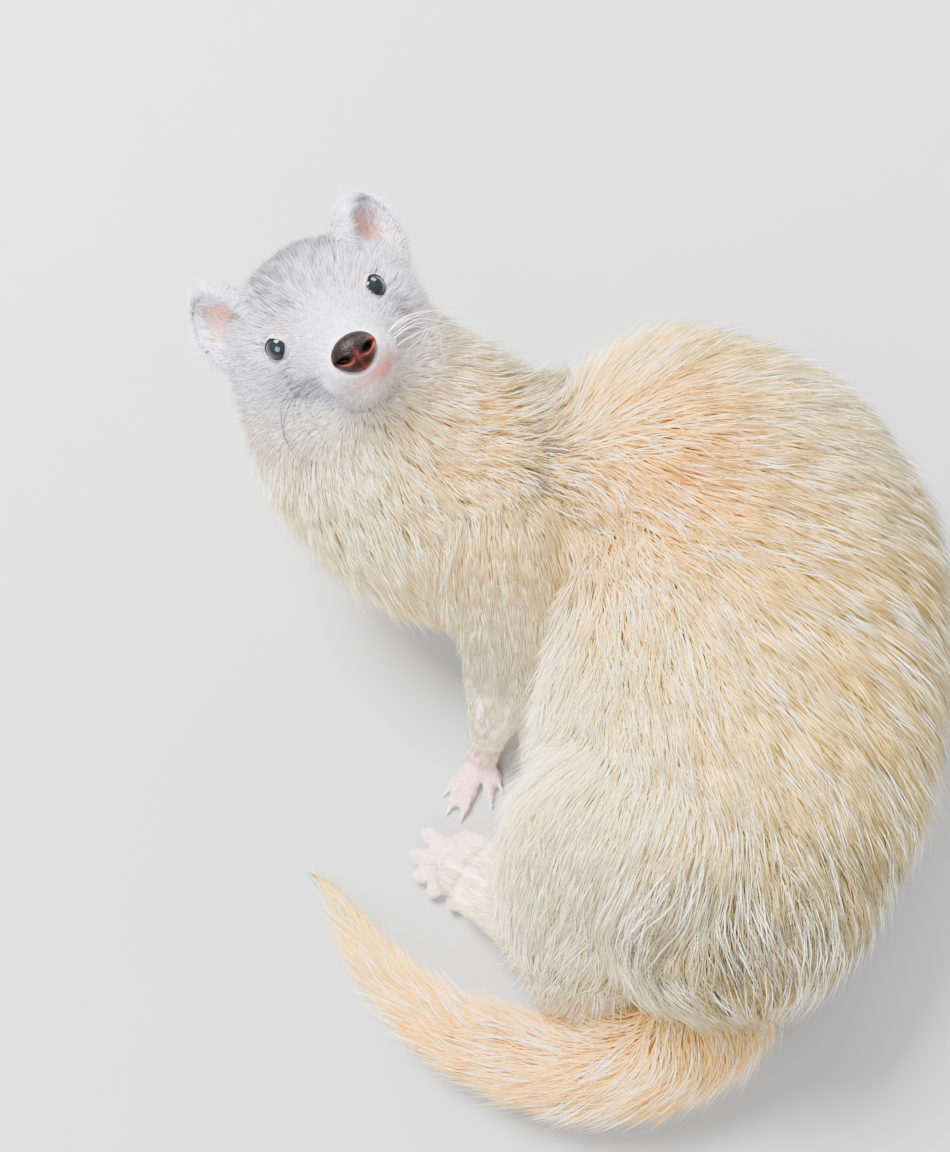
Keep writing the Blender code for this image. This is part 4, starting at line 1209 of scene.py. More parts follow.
@dataclass
class Tufts:
    """Many closed tufts, pointed at both ends: their lines, widths and colours."""

    lines: np.ndarray
    sides: np.ndarray
    crests: np.ndarray
    colours: np.ndarray
    maps: np.ndarray

    def corners(self) -> np.ndarray:
        """The places of one row of points for each tuft: the root, three a ring, and the tip."""
        count, rings, _ = self.sides.shape
        points = np.empty((count, rings * 3 + 2, 3))
        points[:, 0], points[:, -1] = self.lines[:, 0], self.lines[:, -1]
        for ring in range(rings):
            middle = self.lines[:, ring + 1]
            points[:, ring * 3 + 1] = middle + self.sides[:, ring]
            points[:, ring * 3 + 2] = middle + self.crests[:, ring]
            points[:, ring * 3 + 3] = middle - self.sides[:, ring]
        return PLACEMENT.kept(points)

    @staticmethod
    def template(rings: int) -> np.ndarray:
        """The triangles of one tuft."""
        tip = rings * 3 + 1
        faces = []
        for k in range(3):
            j = (k + 1) % 3
            faces.append((1 + k, 1 + j, 0))
            for low in range(1, tip - 3, 3):
                high = low + 3
                faces += [(low + k, high + j, low + j), (low + k, high + k, high + j)]
            faces.append((tip - 3 + k, tip, tip - 3 + j))
        return np.array(faces)

    def build(self, name: str, finish: Finish) -> bpy.types.Object:
        """Makes one mesh of all the tufts.

        Args:
            name: The object's name.
            finish: What the tufts are made of.

        Returns:
            The object, in design millimetres.
        """
        points = self.corners()
        count, size, _ = points.shape
        rings = (size - 2) // 3
        index = (self.template(rings)[None] + (np.arange(count) * size)[:, None, None]).reshape(-1)
        mesh = bpy.data.meshes.new(name)
        mesh.vertices.add(count * size)
        mesh.vertices.foreach_set("co", points.astype(np.float32).ravel())
        mesh.loops.add(len(index))
        mesh.loops.foreach_set("vertex_index", index.astype(np.int32))
        many = len(index) // 3
        mesh.polygons.add(many)
        mesh.polygons.foreach_set("loop_start", np.arange(many, dtype=np.int32) * 3)
        mesh.update(calc_edges=True)
        row = np.concatenate([[0], np.repeat(np.arange(rings) + 1, 3), [rings + 1]])
        paint(mesh, self.colours[:, row].reshape(-1, 3))
        spread = np.zeros((size, 2))
        spread[1:-1, 0] = np.tile([-0.5, 0.0, 0.5], rings)
        spread[:, 1] = row / (rings + 1) - 0.5
        uv = np.clip(self.maps[:, None] + spread[None] * PATCH, 0.0, 1.0).reshape(-1, 2)
        layer = mesh.uv_layers.new(name=BAKE_MAP)
        layer.data.foreach_set("uv", uv[index].astype(np.float32).ravel())
        mesh.materials.append(finish.material())
        return new_object(name, mesh)


@dataclass
class Coat:
    """Grows tufts over a surface."""

    skin: Surface
    unwrap: Unwrap
    rng: np.random.Generator
    triangles: int = 0

    def paths(
        self, roots: np.ndarray, face: np.ndarray, length: np.ndarray, turn: np.ndarray, share: np.ndarray
    ) -> tuple[np.ndarray, ...]:
        """Walks along the skin from each root, the way that the coat lies.

        Args:
            roots: Where the tufts start.
            face: The triangle of each root.
            length: How far each goes.
            turn: How far each turns from the lie of the coat, in radians.
            share: The stops on the way, from 0 at the root to 1 at the tip.

        Returns:
            The places, normals, lies and depths at every stop.
        """
        places, normals, lies, depths = [roots], [], [], []
        for stop in range(len(share)):
            normal = unit(self.skin.at(self.skin.normals, face))
            lie = self.skin.at(self.skin.flow, face)
            lie = unit(lie - normal * (lie * normal).sum(axis=1, keepdims=True))
            across = np.cross(normal, lie)
            lie = lie * np.cos(turn)[:, None] + across * np.sin(turn)[:, None]
            normals.append(normal)
            lies.append(lie)
            depths.append(self.skin.at(self.skin.depth, face))
            if stop < len(share) - 1:
                step = length * (share[stop + 1] - share[stop])
                place, face = self.skin.nearest(places[-1] + lie * step[:, None])
                places.append(place)
        return tuple(np.stack(x, axis=1) for x in (places, normals, lies, depths))

    def grow(
        self,
        name: str,
        weight: np.ndarray,
        count: int,
        rings: int = 2,
        longer: float = 1.0,
        raised: float = 1.0,
        thin: float = 1.0,
        gather: float = 1.0,
        lock: int = 14,
        proud: float = 1.2,
        tint: Callable[..., np.ndarray] | None = None,
    ) -> bpy.types.Object:
        """Grows one piece of the coat.

        Args:
            name: The piece's name.
            weight: The density at each vertex of the skin.
            count: How many tufts.
            rings: How many rings each tuft has between its root and its tip.
            longer: How much longer than the style.
            raised: How much higher the tips stand.
            thin: How much narrower.
            gather: How much more the tips are drawn together.
            lock: How many tufts a lock has.
            proud: How far, on average, the tips stand off the coat.
            tint: Gives the colour of each row from the base colour, the place and a chance.

        Returns:
            The finished piece.
        """
        rng = self.rng
        skin = self.skin
        share = np.array(RING_SHARES[rings])
        roots, face, bary = skin.sow(weight, count, rng)
        mine = self.leads(roots, max(8, count // lock))

        def chance(alike: float, columns: int = 1) -> np.ndarray:
            """Chances from 0 to 1, of which the tufts of a lock share a part."""
            own = rng.random((count, columns))
            return own[mine] * alike + own * (1 - alike)

        length = skin.at(skin.style("length"), face, bary) * (0.6 + 0.6 * chance(0.4)[:, 0]) * longer
        width = skin.at(skin.style("width"), face, bary) * rng.uniform(0.7, 1.3, count) * thin
        stray = skin.at(skin.style("stray"), face, bary)
        lift = skin.at(skin.style("lift"), face, bary) * raised
        clump = skin.at(skin.style("clump"), face, bary) * gather
        sway = rng.normal(0, 1, count)
        turn = (0.8 * sway[mine] + 0.5 * rng.normal(0, 1, count)) * stray
        places, normals, lies, depths = self.paths(roots, face, length, turn, share)
        height = depths * (lift * (0.6 + 0.5 * chance(0.6)[:, 0]))[:, None] * share**0.8
        loose = np.minimum(rng.exponential(proud, count), 7.0) * np.minimum(1.0, length / 12)
        sunk = 0.4 * (1 - share) ** 2
        line = places + normals * (height + loose[:, None] * share**1.7 - sunk)[..., None]
        pull = clump[:, None] * share[None] ** 1.4
        line = line + (line[mine] - line) * pull[..., None]
        kept = Eyes().clear(line)
        side = np.cross(lies, normals)[:, 1:-1]
        taper = np.interp(share[1:-1], [0, 0.35, 1.0], [0.8, 1.0, 0.3])
        half = width[:, None, None] / 2 * taper[None, :, None]
        shares = skin.at(skin.shares, face, bary)
        base = Markings.base(roots, shares)
        colours = (tint or self.natural)(base, shares, chance(0.45, 4), share)
        tufts = Tufts(
            line[kept],
            (side * half)[kept],
            (normals[:, 1:-1] * half * 0.8)[kept],
            colours[kept],
            self.unwrap.at(roots[kept]),
        )
        obj = tufts.build(name, FUR_FINISH)
        made = len(obj.data.polygons)
        self.triangles += made
        LOG.info("%s: %d tufts, %d triangles", name, len(tufts.lines), made)
        return obj

    def leads(self, roots: np.ndarray, locks: int) -> np.ndarray:
        """Which tuft leads the lock of each tuft: the nearest of those picked by chance."""
        picked = self.rng.choice(len(roots), locks, replace=False)
        tree = KDTree(locks)
        for i, lead in enumerate(picked):
            tree.insert(roots[lead], i)
        tree.balance()
        return picked[np.array([tree.find(p)[1] for p in roots])]

    @staticmethod
    def natural(base: np.ndarray, shares: np.ndarray, chance: np.ndarray, share: np.ndarray) -> np.ndarray:
        """Colours from root to tip: warmer at the root, paler at the tip."""
        head = shares[:, [Region.HEAD.value]]
        paws = shares[:, [Region.PAW.value]]
        warm = np.array([0.98, 0.82, 0.56]) * (1 - head) + np.array([0.92, 0.91, 0.94]) * head
        tip = np.array(TIP) * (1 - head) + np.array(FACE_WHITE) * head
        shade = 0.83 + 0.2 * chance[:, [0]] + 0.02 * head
        pale = (0.05 + 0.95 * chance[:, [1]] ** 3) * (1 - 0.4 * head)
        pale = pale * np.clip(0.35 + 1.6 * base[:, [2]], 0.0, 1.0)
        rows = []
        for s in share:
            root = (1 - s) ** 2
            tone = base * (1 - root) + base * warm * root
            whiten = np.clip(s * 1.2, 0, 1) ** 1.6 * pale
            tone = (tone * (1 - whiten) + tip * whiten) * shade
            rows.append(tone * (1 - 0.7 * paws) + np.array(WHITE) * 0.7 * paws)
        return np.stack(rows, axis=1)

    @staticmethod
    def dark(base: np.ndarray, shares: np.ndarray, chance: np.ndarray, share: np.ndarray) -> np.ndarray:
        """Colours of the dark guard hairs, pale at the root."""
        deep = np.array(SOOT) * (1 - chance[:, [0]]) + np.array(GREY) * chance[:, [0]]
        return np.stack([base * (1 - k) + deep * k for k in np.clip(share * 1.6, 0, 1)], axis=1)


@dataclass
class Eyes:
    """Both eyeballs, with lids that close round them."""

    opening: tuple[float, float] = (3.4, 3.1)
    turns: int = 56

    def frame_of(self, side: int) -> tuple[np.ndarray, np.ndarray, np.ndarray, np.ndarray]:
        """The eye's middle, and its gaze, across and upright directions, in the head's frame."""
        axis = unit(mirrored(GAZE, side))
        across = unit(np.cross(axis, UP))
        return mirrored(EYE_AT, side), axis, across, np.cross(across, axis)

    def ball(self, word: str, side: int) -> None:
        """One glossy eyeball in place of its solid."""
        rows = ball_rows((EYE_RADIUS,) * 3, 40, 28) + mirrored(EYE_AT, side)
        solid = Solid()
        solid.rings(HEAD.out(rows.reshape(-1, 3)).reshape(rows.shape))
        obj = new_object(f"eyeball_{word}", solid.mesh("eyeball"))
        obj.data.materials.append(EYE_FINISH.material())
        settle(obj, Slot.EYES, (f"eye_{word}",))

    def lids(self, word: str, side: int) -> None:
        """The rim of both lids, from the eyeball out to the fur."""
        centre, axis, across, upright = self.frame_of(side)
        angle = 2 * np.pi * np.arange(self.turns) / self.turns
        wide, tall = self.opening
        blunt = 1.62
        sizes = np.abs(np.cos(angle) / wide) ** blunt + np.abs(np.sin(angle) / tall) ** blunt
        radius = sizes ** (-1 / blunt)
        spoke = np.cos(angle)[:, None] * across + np.sin(angle)[:, None] * upright
        rim, pale = np.array([0.035, 0.025, 0.025]), np.array([0.62, 0.50, 0.53])
        profile = (
            (-0.25, EYE_RADIUS - 0.2, 0.0),
            (0.0, EYE_RADIUS + 0.05, 0.0),
            (0.1, EYE_RADIUS + 0.3, 0.0),
            (0.25, EYE_RADIUS + 0.3, 0.4),
            (0.45, EYE_RADIUS + 0.1, 1.0),
            (0.7, EYE_RADIUS - 0.4, 1.0),
            (1.0, EYE_RADIUS - 1.2, 1.0),
        )
        rows, tones = [], []
        for out, reach, tone in profile:
            r = radius + out
            level = max(0.5, 2.3 - out * 0.8)
            ahead = np.sqrt(np.maximum(reach**2 - np.minimum(r, reach) ** 2, 0.0))
            ahead = np.maximum(ahead, level)
            rows.append(centre + spoke * r[:, None] + axis * ahead[:, None])
            tones.append(rim * (1 - tone) + pale * tone)
        rows.append(centre + spoke * (radius + 0.6)[:, None] + axis * 0.4)
        rows.append(centre + spoke * (radius - 0.4)[:, None] + axis * 0.8)
        tones += [pale, rim]
        ring = np.array(rows)
        solid = Solid()
        many, sides, _ = ring.shape
        for i in range(many):
            for k in range(sides):
                j = (k + 1) % sides
                n = (i + 1) % many
                solid.faces.append((i * sides + k, i * sides + j, n * sides + j, n * sides + k))
        solid.points.append(HEAD.out(ring.reshape(-1, 3)))
        obj = new_object(f"lids_{word}", solid.mesh("lids"))
        fix_normals(obj)
        paint(obj.data, np.repeat(np.array(tones), self.turns, axis=0))
        obj.data.materials.append(LID_FINISH.material())
        settle(obj, Slot.HEAD_FUR)

    def sink(self, points: np.ndarray) -> np.ndarray:
        """Presses the skin in round both eyes, so that it meets the lids.

        Args:
            points: The skin's points.

        Returns:
            The moved points.
        """
        local = HEAD.into(points)
        for side in (1, -1):
            centre, axis, _, _ = self.frame_of(side)
            rel = local - centre
            ahead = rel @ axis
            off = rel - ahead[:, None] * axis
            radius = np.linalg.norm(off, axis=1)
            level = 2.0 + (radius - 4.0) * 0.25
            level = np.where(radius < 3.6, 2.0 - (3.6 - radius) * 1.4, level)
            cover = (1 - smooth_step(4.4, 8.5, radius)) * (ahead > -3)
            moved = np.where(ahead > level, ahead + (level - ahead) * cover, ahead)
            local = centre + off + moved[:, None] * axis
        off = np.linalg.norm((local - NOSE_AT)[:, 1:] / np.array([6.4, 5.0]), axis=1)
        limit = 23.5 + 2.6 * np.minimum(off, 1.0) ** 2 + 9.0 * np.maximum(off - 1.0, 0.0)
        local[:, 0] = np.where(off < 2.0, np.minimum(local[:, 0], limit), local[:, 0])
        return HEAD.out(local)

    def clear(self, line: np.ndarray) -> np.ndarray:
        """Which tufts stay off the eyes and the nose.

        Args:
            line: The points of every tuft.

        Returns:
            True for each tuft that may stay.
        """
        local = HEAD.into(line.reshape(-1, 3))
        bad = np.linalg.norm((local - NOSE_AT) / (np.array(NOSE_RADII) + 0.5), axis=1) < 1
        for side in (1, -1):
            centre, axis, _, _ = self.frame_of(side)
            rel = local - centre
            ahead = rel @ axis
            off = np.linalg.norm(rel - ahead[:, None] * axis, axis=1)
            bad |= (off < 3.45) & (ahead > 0) & (ahead < 14)
        return ~bad.reshape(line.shape[:2]).any(axis=1)

    def build(self) -> None:
        """Makes both eyes."""
        for word, side in (("left", 1), ("right", -1)):
            self.ball(word, side)
            self.lids(word, side)
        LOG.info("eyes and lids")


def fix_normals(obj: bpy.types.Object) -> None:
    """Turns every face of a closed piece outwards."""
    shape = bmesh.new()
    shape.from_mesh(obj.data)
    bmesh.ops.recalc_face_normals(shape, faces=shape.faces)
    shape.to_mesh(obj.data)
    shape.free()


@dataclass
class Nose:
    """The nose leather: a broad pad with two nostrils and a groove between them."""

    nostril: tuple[float, float, float] = (3.2, 3.3, -0.9)
    sides: int = 64
    rings: int = 48

    def build(self) -> None:
        """Makes the nose in place of its solid."""
        rows = ball_rows((1.0, 1.0, 1.0), self.sides, self.rings)
        unitball = rows.reshape(-1, 3)
        x, y, z = unitball.T
        radii = np.array(NOSE_RADII)
        narrow = 1 - 0.22 * smooth_step(0.1, -0.9, z)
        points = unitball * radii
        points[:, 1] *= narrow
        points[:, 0] += 0.5 * smooth_step(0.2, 1.0, x) * (1 - np.abs(y))
        front = smooth_step(0.1, 0.5, x)
        groove = np.exp(-((y / 0.09) ** 2)) * front * smooth_step(0.45, -0.2, z)
        hole_y, hole_z = 0.52, -0.12
        spread = ((np.abs(y) - hole_y) / 0.24) ** 2 + ((z - hole_z - 0.25 * (np.abs(y) - hole_y)) / 0.20) ** 2
        slit_y = (np.abs(y) - 0.78) / 0.2
        slit = slit_y**2 + ((z - hole_z - 0.12) / 0.1) ** 2
        pit = np.exp(-(spread**1.6)) + 0.6 * np.exp(-(slit**1.4))
        points[:, 0] -= front * (0.45 * groove + 2.0 * np.clip(pit, 0, 1))
        rim = np.exp(-((spread - 1.9) ** 2)) * front
        points[:, 0] += 0.3 * rim
        solid = Solid()
        solid.rings(HEAD.out(points + NOSE_AT).reshape(rows.shape))
        obj = new_object("nose_pad", solid.mesh("nose_pad"))
        leather = np.array([0.010, 0.005, 0.0045])
        pink = np.array([0.40, 0.07, 0.07])
        blush = np.clip(0.8 * np.exp(-spread * 0.6) * smooth_step(-0.05, -0.5, z) + 0.2 * groove, 0, 1)
        blush = np.maximum(blush, 0.8 * smooth_step(0.6, 0.95, y) * smooth_step(0.6, -0.2, z))
        blush = np.maximum(blush, 0.35 * smooth_step(-0.7, -0.95, z))
        colours = leather * (1 - blush[:, None]) + pink * blush[:, None]
        # Painted shade: the nostrils' pits are darkened.
        colours = colours * (1 - 0.85 * np.clip(pit, 0, 1)[:, None])
        paint(obj.data, colours)
        obj.data.materials.append(NOSE_FINISH.material())
        settle(obj, Slot.NOSE, ("nose",))
        LOG.info("nose")


def cord_rows(line: np.ndarray, radii: np.ndarray, sides: int = 6) -> np.ndarray:
    """Rings round a line of points."""
    way = unit(np.gradient(line, axis=0))
    side = np.cross(way, UP)
    flat = np.linalg.norm(side, axis=1) < 1e-3
    side[flat] = (1.0, 0.0, 0.0)
    side = unit(side)
    upright = np.cross(side, way)
    turn = 2 * np.pi * np.arange(sides) / sides
    round_ = side[:, None] * np.cos(turn)[None, :, None] + upright[:, None] * np.sin(turn)[None, :, None]
    return line[:, None] + round_ * radii[:, None, None]


@dataclass
class Mouth:
    """The lips and the line between them."""

    samples: int = 60
    middle: float = 0.42
    spread: float = 0.2

    def build(self, skin: Surface) -> None:
        """Lays both lips and the dark line on the skin."""
        line = np.array(list(MOUTH) + [tuple(mirrored(p, -1)) for p in MOUTH[-2::-1]], float)
        pad = np.concatenate([line, np.zeros((len(line), 3))], axis=1)
        smooth = curve_at(pad, np.linspace(0, 1, self.samples))[:, :3]
        t = np.linspace(0, 1, self.samples)
        fade = np.sin(np.pi * t) ** 0.5
        blush = np.exp(-(((t - self.middle) / self.spread) ** 2))[:, None]
        edge = np.array(FACE_WHITE) * (1 - blush) + np.array(LIP) * blush
        # Painted shade: the line between the lips is a darker copy of the face's white and the lip's colour.
        deep = np.array(FACE_WHITE) * 0.8 * (1 - blush) + np.array(LIP) * 0.5 * blush
        for name, drop, sunk, radius, finish, tone in (
            ("lip_upper", 0.45, 0.25, 0.35, LIP_FINISH, edge),
            ("lip_lower", -0.6, 0.2, 0.5, LIP_FINISH, edge),
            ("mouth_line", -0.05, 0.0, 0.12, LINE_FINISH, deep),
        ):
            target = HEAD.out(smooth + np.array([0, 0, drop]))
            place, face = skin.nearest(target)
            normal = unit(skin.at(skin.normals, face))
            middle = place - normal * sunk
            solid = Solid()
            solid.rings(cord_rows(middle, 0.08 + radius * fade, 8))
            obj = new_object(name, solid.mesh(name))
            fix_normals(obj)
            paint(obj.data, np.repeat(tone, 8, axis=0))
            obj.data.materials.append(finish.material())
            settle(obj, Slot.HEAD_FUR)
        LOG.info("mouth")


@dataclass
class Ears:
    """Both ears: thin cups with a soft hollow."""

    sides: int = 56
    wall: float = 0.9
    rim_at: float = 2.3

    def turn(self, side: int) -> np.ndarray:
        """How one ear's cup is turned in the head's frame."""
        yaw = Matrix.Rotation(math.radians(EAR_YAW * side), 3, "Z")
        return np.array(yaw @ Matrix.Rotation(math.radians(-EAR_ROLL * side), 3, "X"))

    def rows(self) -> tuple[np.ndarray, np.ndarray]:
        """The cup's rings, from the back's middle over the rim to the hollow's middle.

        Returns:
            The rings, and for each ring 0 outside, 1 at the rim and 2 inside.
        """
        deep, wide, tall = EAR_RADII
        turn = 2 * np.pi * np.arange(self.sides) / self.sides
        cos, sin = np.cos(turn), np.sin(turn)
        rings, kinds = [], []
        narrow = 1 - 0.04 * smooth_step(0.0, 1.0, sin)
        for lean in np.linspace(0.06, 1.0, 12):
            angle = lean * (np.pi / 2 + math.asin(self.rim_at / deep))
            x = -deep * math.cos(angle)
            r = math.sin(angle)
            rings.append(np.stack([np.full(self.sides, x), wide * r * cos * narrow, tall * r * sin], axis=1))
            kinds.append(0.0)
        lip = rings[-1].copy()
        lip[:, 0] += 0.5
        lip[:, 1:] *= 0.965
        rings.append(lip)
        kinds.append(1.0)
        for lean in np.linspace(0.9, 0.04, 12):
            x = self.rim_at - 5.2 * (1 - lean**2.2)
            shrink = 1 - self.wall / wide
            fold = 1 + 0.05 * np.sin(3 * turn) * (1 - lean)
            rings.append(
                np.stack(
                    [
                        x + 0.5 * np.exp(-((sin + 0.55) ** 2) / 0.1) * (cos > 0) * lean,
                        wide * 0.92 * shrink * lean * cos * fold * narrow,
                        tall * 0.93 * shrink * lean * sin * fold,
                    ],
                    axis=1,
                )
            )
            kinds.append(2.0)
        return np.array(rings), np.array(kinds)

    def build(self, coat: Coat) -> list[bpy.types.Object]:
        """Makes both ears and the fur on their rims and backs."""
        made = []
        for word, side in (("left", 1), ("right", -1)):
            rings, kinds = self.rows()
            turn = self.turn(side)
            rings = rings * np.array([1, side, 1])
            local = rings.reshape(-1, 3) @ turn.T + mirrored(EAR_AT, side)
            solid = Solid()
            solid.rings(HEAD.out(local).reshape(rings.shape))
            obj = new_object(f"ear_cup_{word}", solid.mesh("ear_cup"))
            fix_normals(obj)
            white, blush = np.array([0.88, 0.74, 0.73]), np.array([0.92, 0.36, 0.24])
            inner = np.repeat(np.clip(kinds - 1, 0, 1), self.sides)[:, None]
            flat = rings.reshape(-1, 3)[:, 1:] / np.array(EAR_RADII[1:])
            inner = inner * (1 - 0.8 * smooth_step(0.72, 1.0, np.linalg.norm(flat, axis=1)))[:, None]
            paint(obj.data, white * (1 - inner) + blush * inner)
            obj.data.materials.append(EAR_FINISH.material())
            made.append((word, side, obj, turn))
        for word, side, obj, turn in made:
            self.fringe(word, side, obj, turn, coat)
            settle(obj, Slot.HEAD_FUR, (f"ear_{word}",))
        LOG.info("ears")
        return [obj for _, _, obj, _ in made]

    def fringe(self, word: str, side: int, obj: bpy.types.Object, turn: np.ndarray, coat: Coat) -> None:
        """The short white hairs on the back, the rim and the front edge of one ear."""
        skin = Surface(obj, None)
        local = (HEAD.into(skin.points) - mirrored(EAR_AT, side)) @ turn
        across = local * np.array([0.0, 1 / EAR_RADII[1], 1 / EAR_RADII[2]])
        reach = np.linalg.norm(across, axis=1)
        away = unit(across + np.array([0.55, 0, 0]))
        flow = HEAD.turned(away @ turn.T)
        inside = (skin.normals @ HEAD.turned(turn[:, 0])) > 0.2
        flow = np.where((inside & (reach < 0.8))[:, None], HEAD.turned(np.array([0.2, 0, 1.0]) @ turn.T), flow)
        flow -= skin.normals * (flow * skin.normals).sum(axis=1, keepdims=True)
        skin.flow = unit(flow)
        rim = smooth_step(0.52, 0.84, reach)
        skin.depth = np.where(inside, 0.7 + 0.5 * rim, 1.3 + 0.7 * rim)
        skin.shares[:] = 0
        skin.shares[:, Region.HEAD.value] = 1.0
        ear = Coat(skin, coat.unwrap, coat.rng)
        weight = np.where(inside, 0.25 + 2.4 * rim, 1.0)
        options = {"longer": 0.7, "proud": 0.4, "tint": self.tint}
        settle(ear.grow(f"ear_fur_{word}", weight, 4600, 1, **options), Slot.HEAD_FUR)
        options = {"longer": 1.15, "raised": 1.8, "proud": 1.6, "thin": 1.15, "gather": 1.2, "tint": self.tint}
        edge = smooth_step(0.70, 0.92, reach)
        settle(ear.grow(f"ear_fringe_{word}", edge, 2800, 1, **options), Slot.HEAD_FUR)
        coat.triangles += ear.triangles

    @staticmethod
    def tint(base: np.ndarray, shares: np.ndarray, chance: np.ndarray, share: np.ndarray) -> np.ndarray:
        """White hairs."""
        head = shares[:, [Region.HEAD.value]]
        tone = (np.array(FACE_WHITE) * 1.15 * head + np.array(WHITE) * (1 - head)) * (0.9 + 0.1 * chance[:, [0]])
        return np.repeat(tone[:, None], len(share), axis=1)


@dataclass
class Claws:
    """The claws of all four paws."""

    sides: int = 8
    radius: float = 0.62

    def build(self) -> None:
        """Makes a curved claw at the end of each digit."""
        for name, paw in PAWS.items():
            solid = Solid()
            for tip in paw.tips:
                end, _, _, away = digit_line(paw, tip)
                start = end + away * paw.thick * 0.2
                stop = np.array(tip, float)
                mid = (start + stop) / 2 + UP * 0.5
                t = np.linspace(0, 1, 9)[:, None]
                line = start * (1 - t) ** 2 + 2 * mid * t * (1 - t) + stop * t**2
                radii = self.radius * np.interp(t[:, 0], [0, 0.6, 1], [1, 0.6, 0.12])
                solid.rings(cord_rows(line, radii, self.sides))
            obj = new_object(f"claws_{name}", solid.mesh("claws"))
            fix_normals(obj)
            obj.data.materials.append(CLAW_FINISH.material())
            settle(obj, Slot.PAWS)
        LOG.info("claws")


@dataclass
class Whiskers:
    """Single long hairs on the lips and over the eyes."""

    rng: np.random.Generator
    radius: float = 0.15
    # How a whisker runs from its root, on the left and on the right of the head.
    left: Sequence[Sequence[float]] = ((0, 0, 0), (-4, 9, 0.5), (-9, 17, -3), (-14, 24, -12))
    right: Sequence[Sequence[float]] = ((0, 0, 0), (-5, -9, -1), (-10, -13.5, -9), (-13, -9, -24))

    def hair(self, solid: Solid, skin: Surface, root: np.ndarray, run: np.ndarray) -> None:
        """Adds one whisker.

        Args:
            solid: What to add it to.
            skin: The head's skin.
            root: Where it leaves, in the head's frame.
            run: The points that it passes, from its root, in the head's frame.
        """
        place, _ = skin.nearest(HEAD.out(root[None]))
        t = np.linspace(0, 1, 16)
        pad = np.concatenate([run, run * 0], axis=1)
        line = place + HEAD.turned(curve_at(pad, t)[:, :3])
        line = np.clip(line, PLACEMENT.low + 0.3, PLACEMENT.high - 0.3)
        solid.rings(cord_rows(line, self.radius * (1 - 0.8 * t), 4))

    def build(self, skin: Surface) -> None:
        """Makes the whiskers of both sides."""
        for word, side, finish, run in (
            ("left", 1, WHISKER_PALE, self.left),
            ("right", -1, WHISKER_DARK, self.right),
        ):
            solid = Solid()
            for i in range(9):
                row, place = divmod(i, 4)
                root = mirrored((17.0 - 3.4 * place, 10.5 + 0.9 * place, -11.5 - 2.2 * row), side)
                size = self.rng.uniform(0.65, 1.15) * (0.8 + 0.08 * place)
                spread = 1 + self.rng.normal(0, 0.16, (4, 3))
                self.hair(solid, skin, root, np.array(run, float) * size * spread)
            for i in range(3):
                root = mirrored((-2.0 - i, 11.0 + i, 7.5), side)
                brow = np.array([mirrored(p, side) for p in ((0, 0, 0), (2, 1, 4), (3, 2.5, 8), (3, 4, 11))])
                self.hair(solid, skin, root, brow * (1 - 0.15 * i))
            obj = new_object(f"whiskers_{word}", solid.mesh("whiskers"))
            fix_normals(obj)
            obj.data.materials.append(finish.material())
            settle(obj, Slot.HEAD_FUR)
        LOG.info("whiskers")


FURRED = [Region.TRUNK.value, Region.HAUNCH.value, Region.NECK.value, Region.TAIL.value]
# Where dark hairs grow: the middle, the reach and how thick they stand.
GRIZZLE = (
    ((12, 40, 80), (9, 26, 24), 1.6),
    ((12, 4, 86), (8, 26, 20), 1.2),
    ((66, -100, 66), (30, 22, 50), 1.1),
    ((104, -92, 46), (20, 26, 40), 1.1),
    ((128, 10, 45), (18, 70, 40), 0.8),
    ((50, 66, 60), (50, 14, 40), 0.5),
)
# Where the fur of the haunch hangs over the tail's root, and the tufts of the hind toes.
BREECH = (((50, -110, 38), (26, 9, 26), 1.0),)
TOES = tuple((tip, (3.5, 3.5, 4.0), 1.0) for tip in PAWS["hindpaw_left"].tips)
FACE_GRIZZLE = (
    ((-15, 3, 22), (8, 18, 10), 2.6),
    ((-4, -2, 9), (8, 10, 8), 1.0),
    ((3, -19.5, -9), (4.5, 4.5, 5), 2.4),
    ((2, 20, -7), (4.5, 4.5, 5), 2.0),
)
FLESH = (
    "head neck chest loin rump thigh_left arm_left forearm_left forearm_right shank_left shank_right "
    "forepaw_left forepaw_right hindpaw_left hindpaw_right tail_root tail_middle tail_tip"
).split()


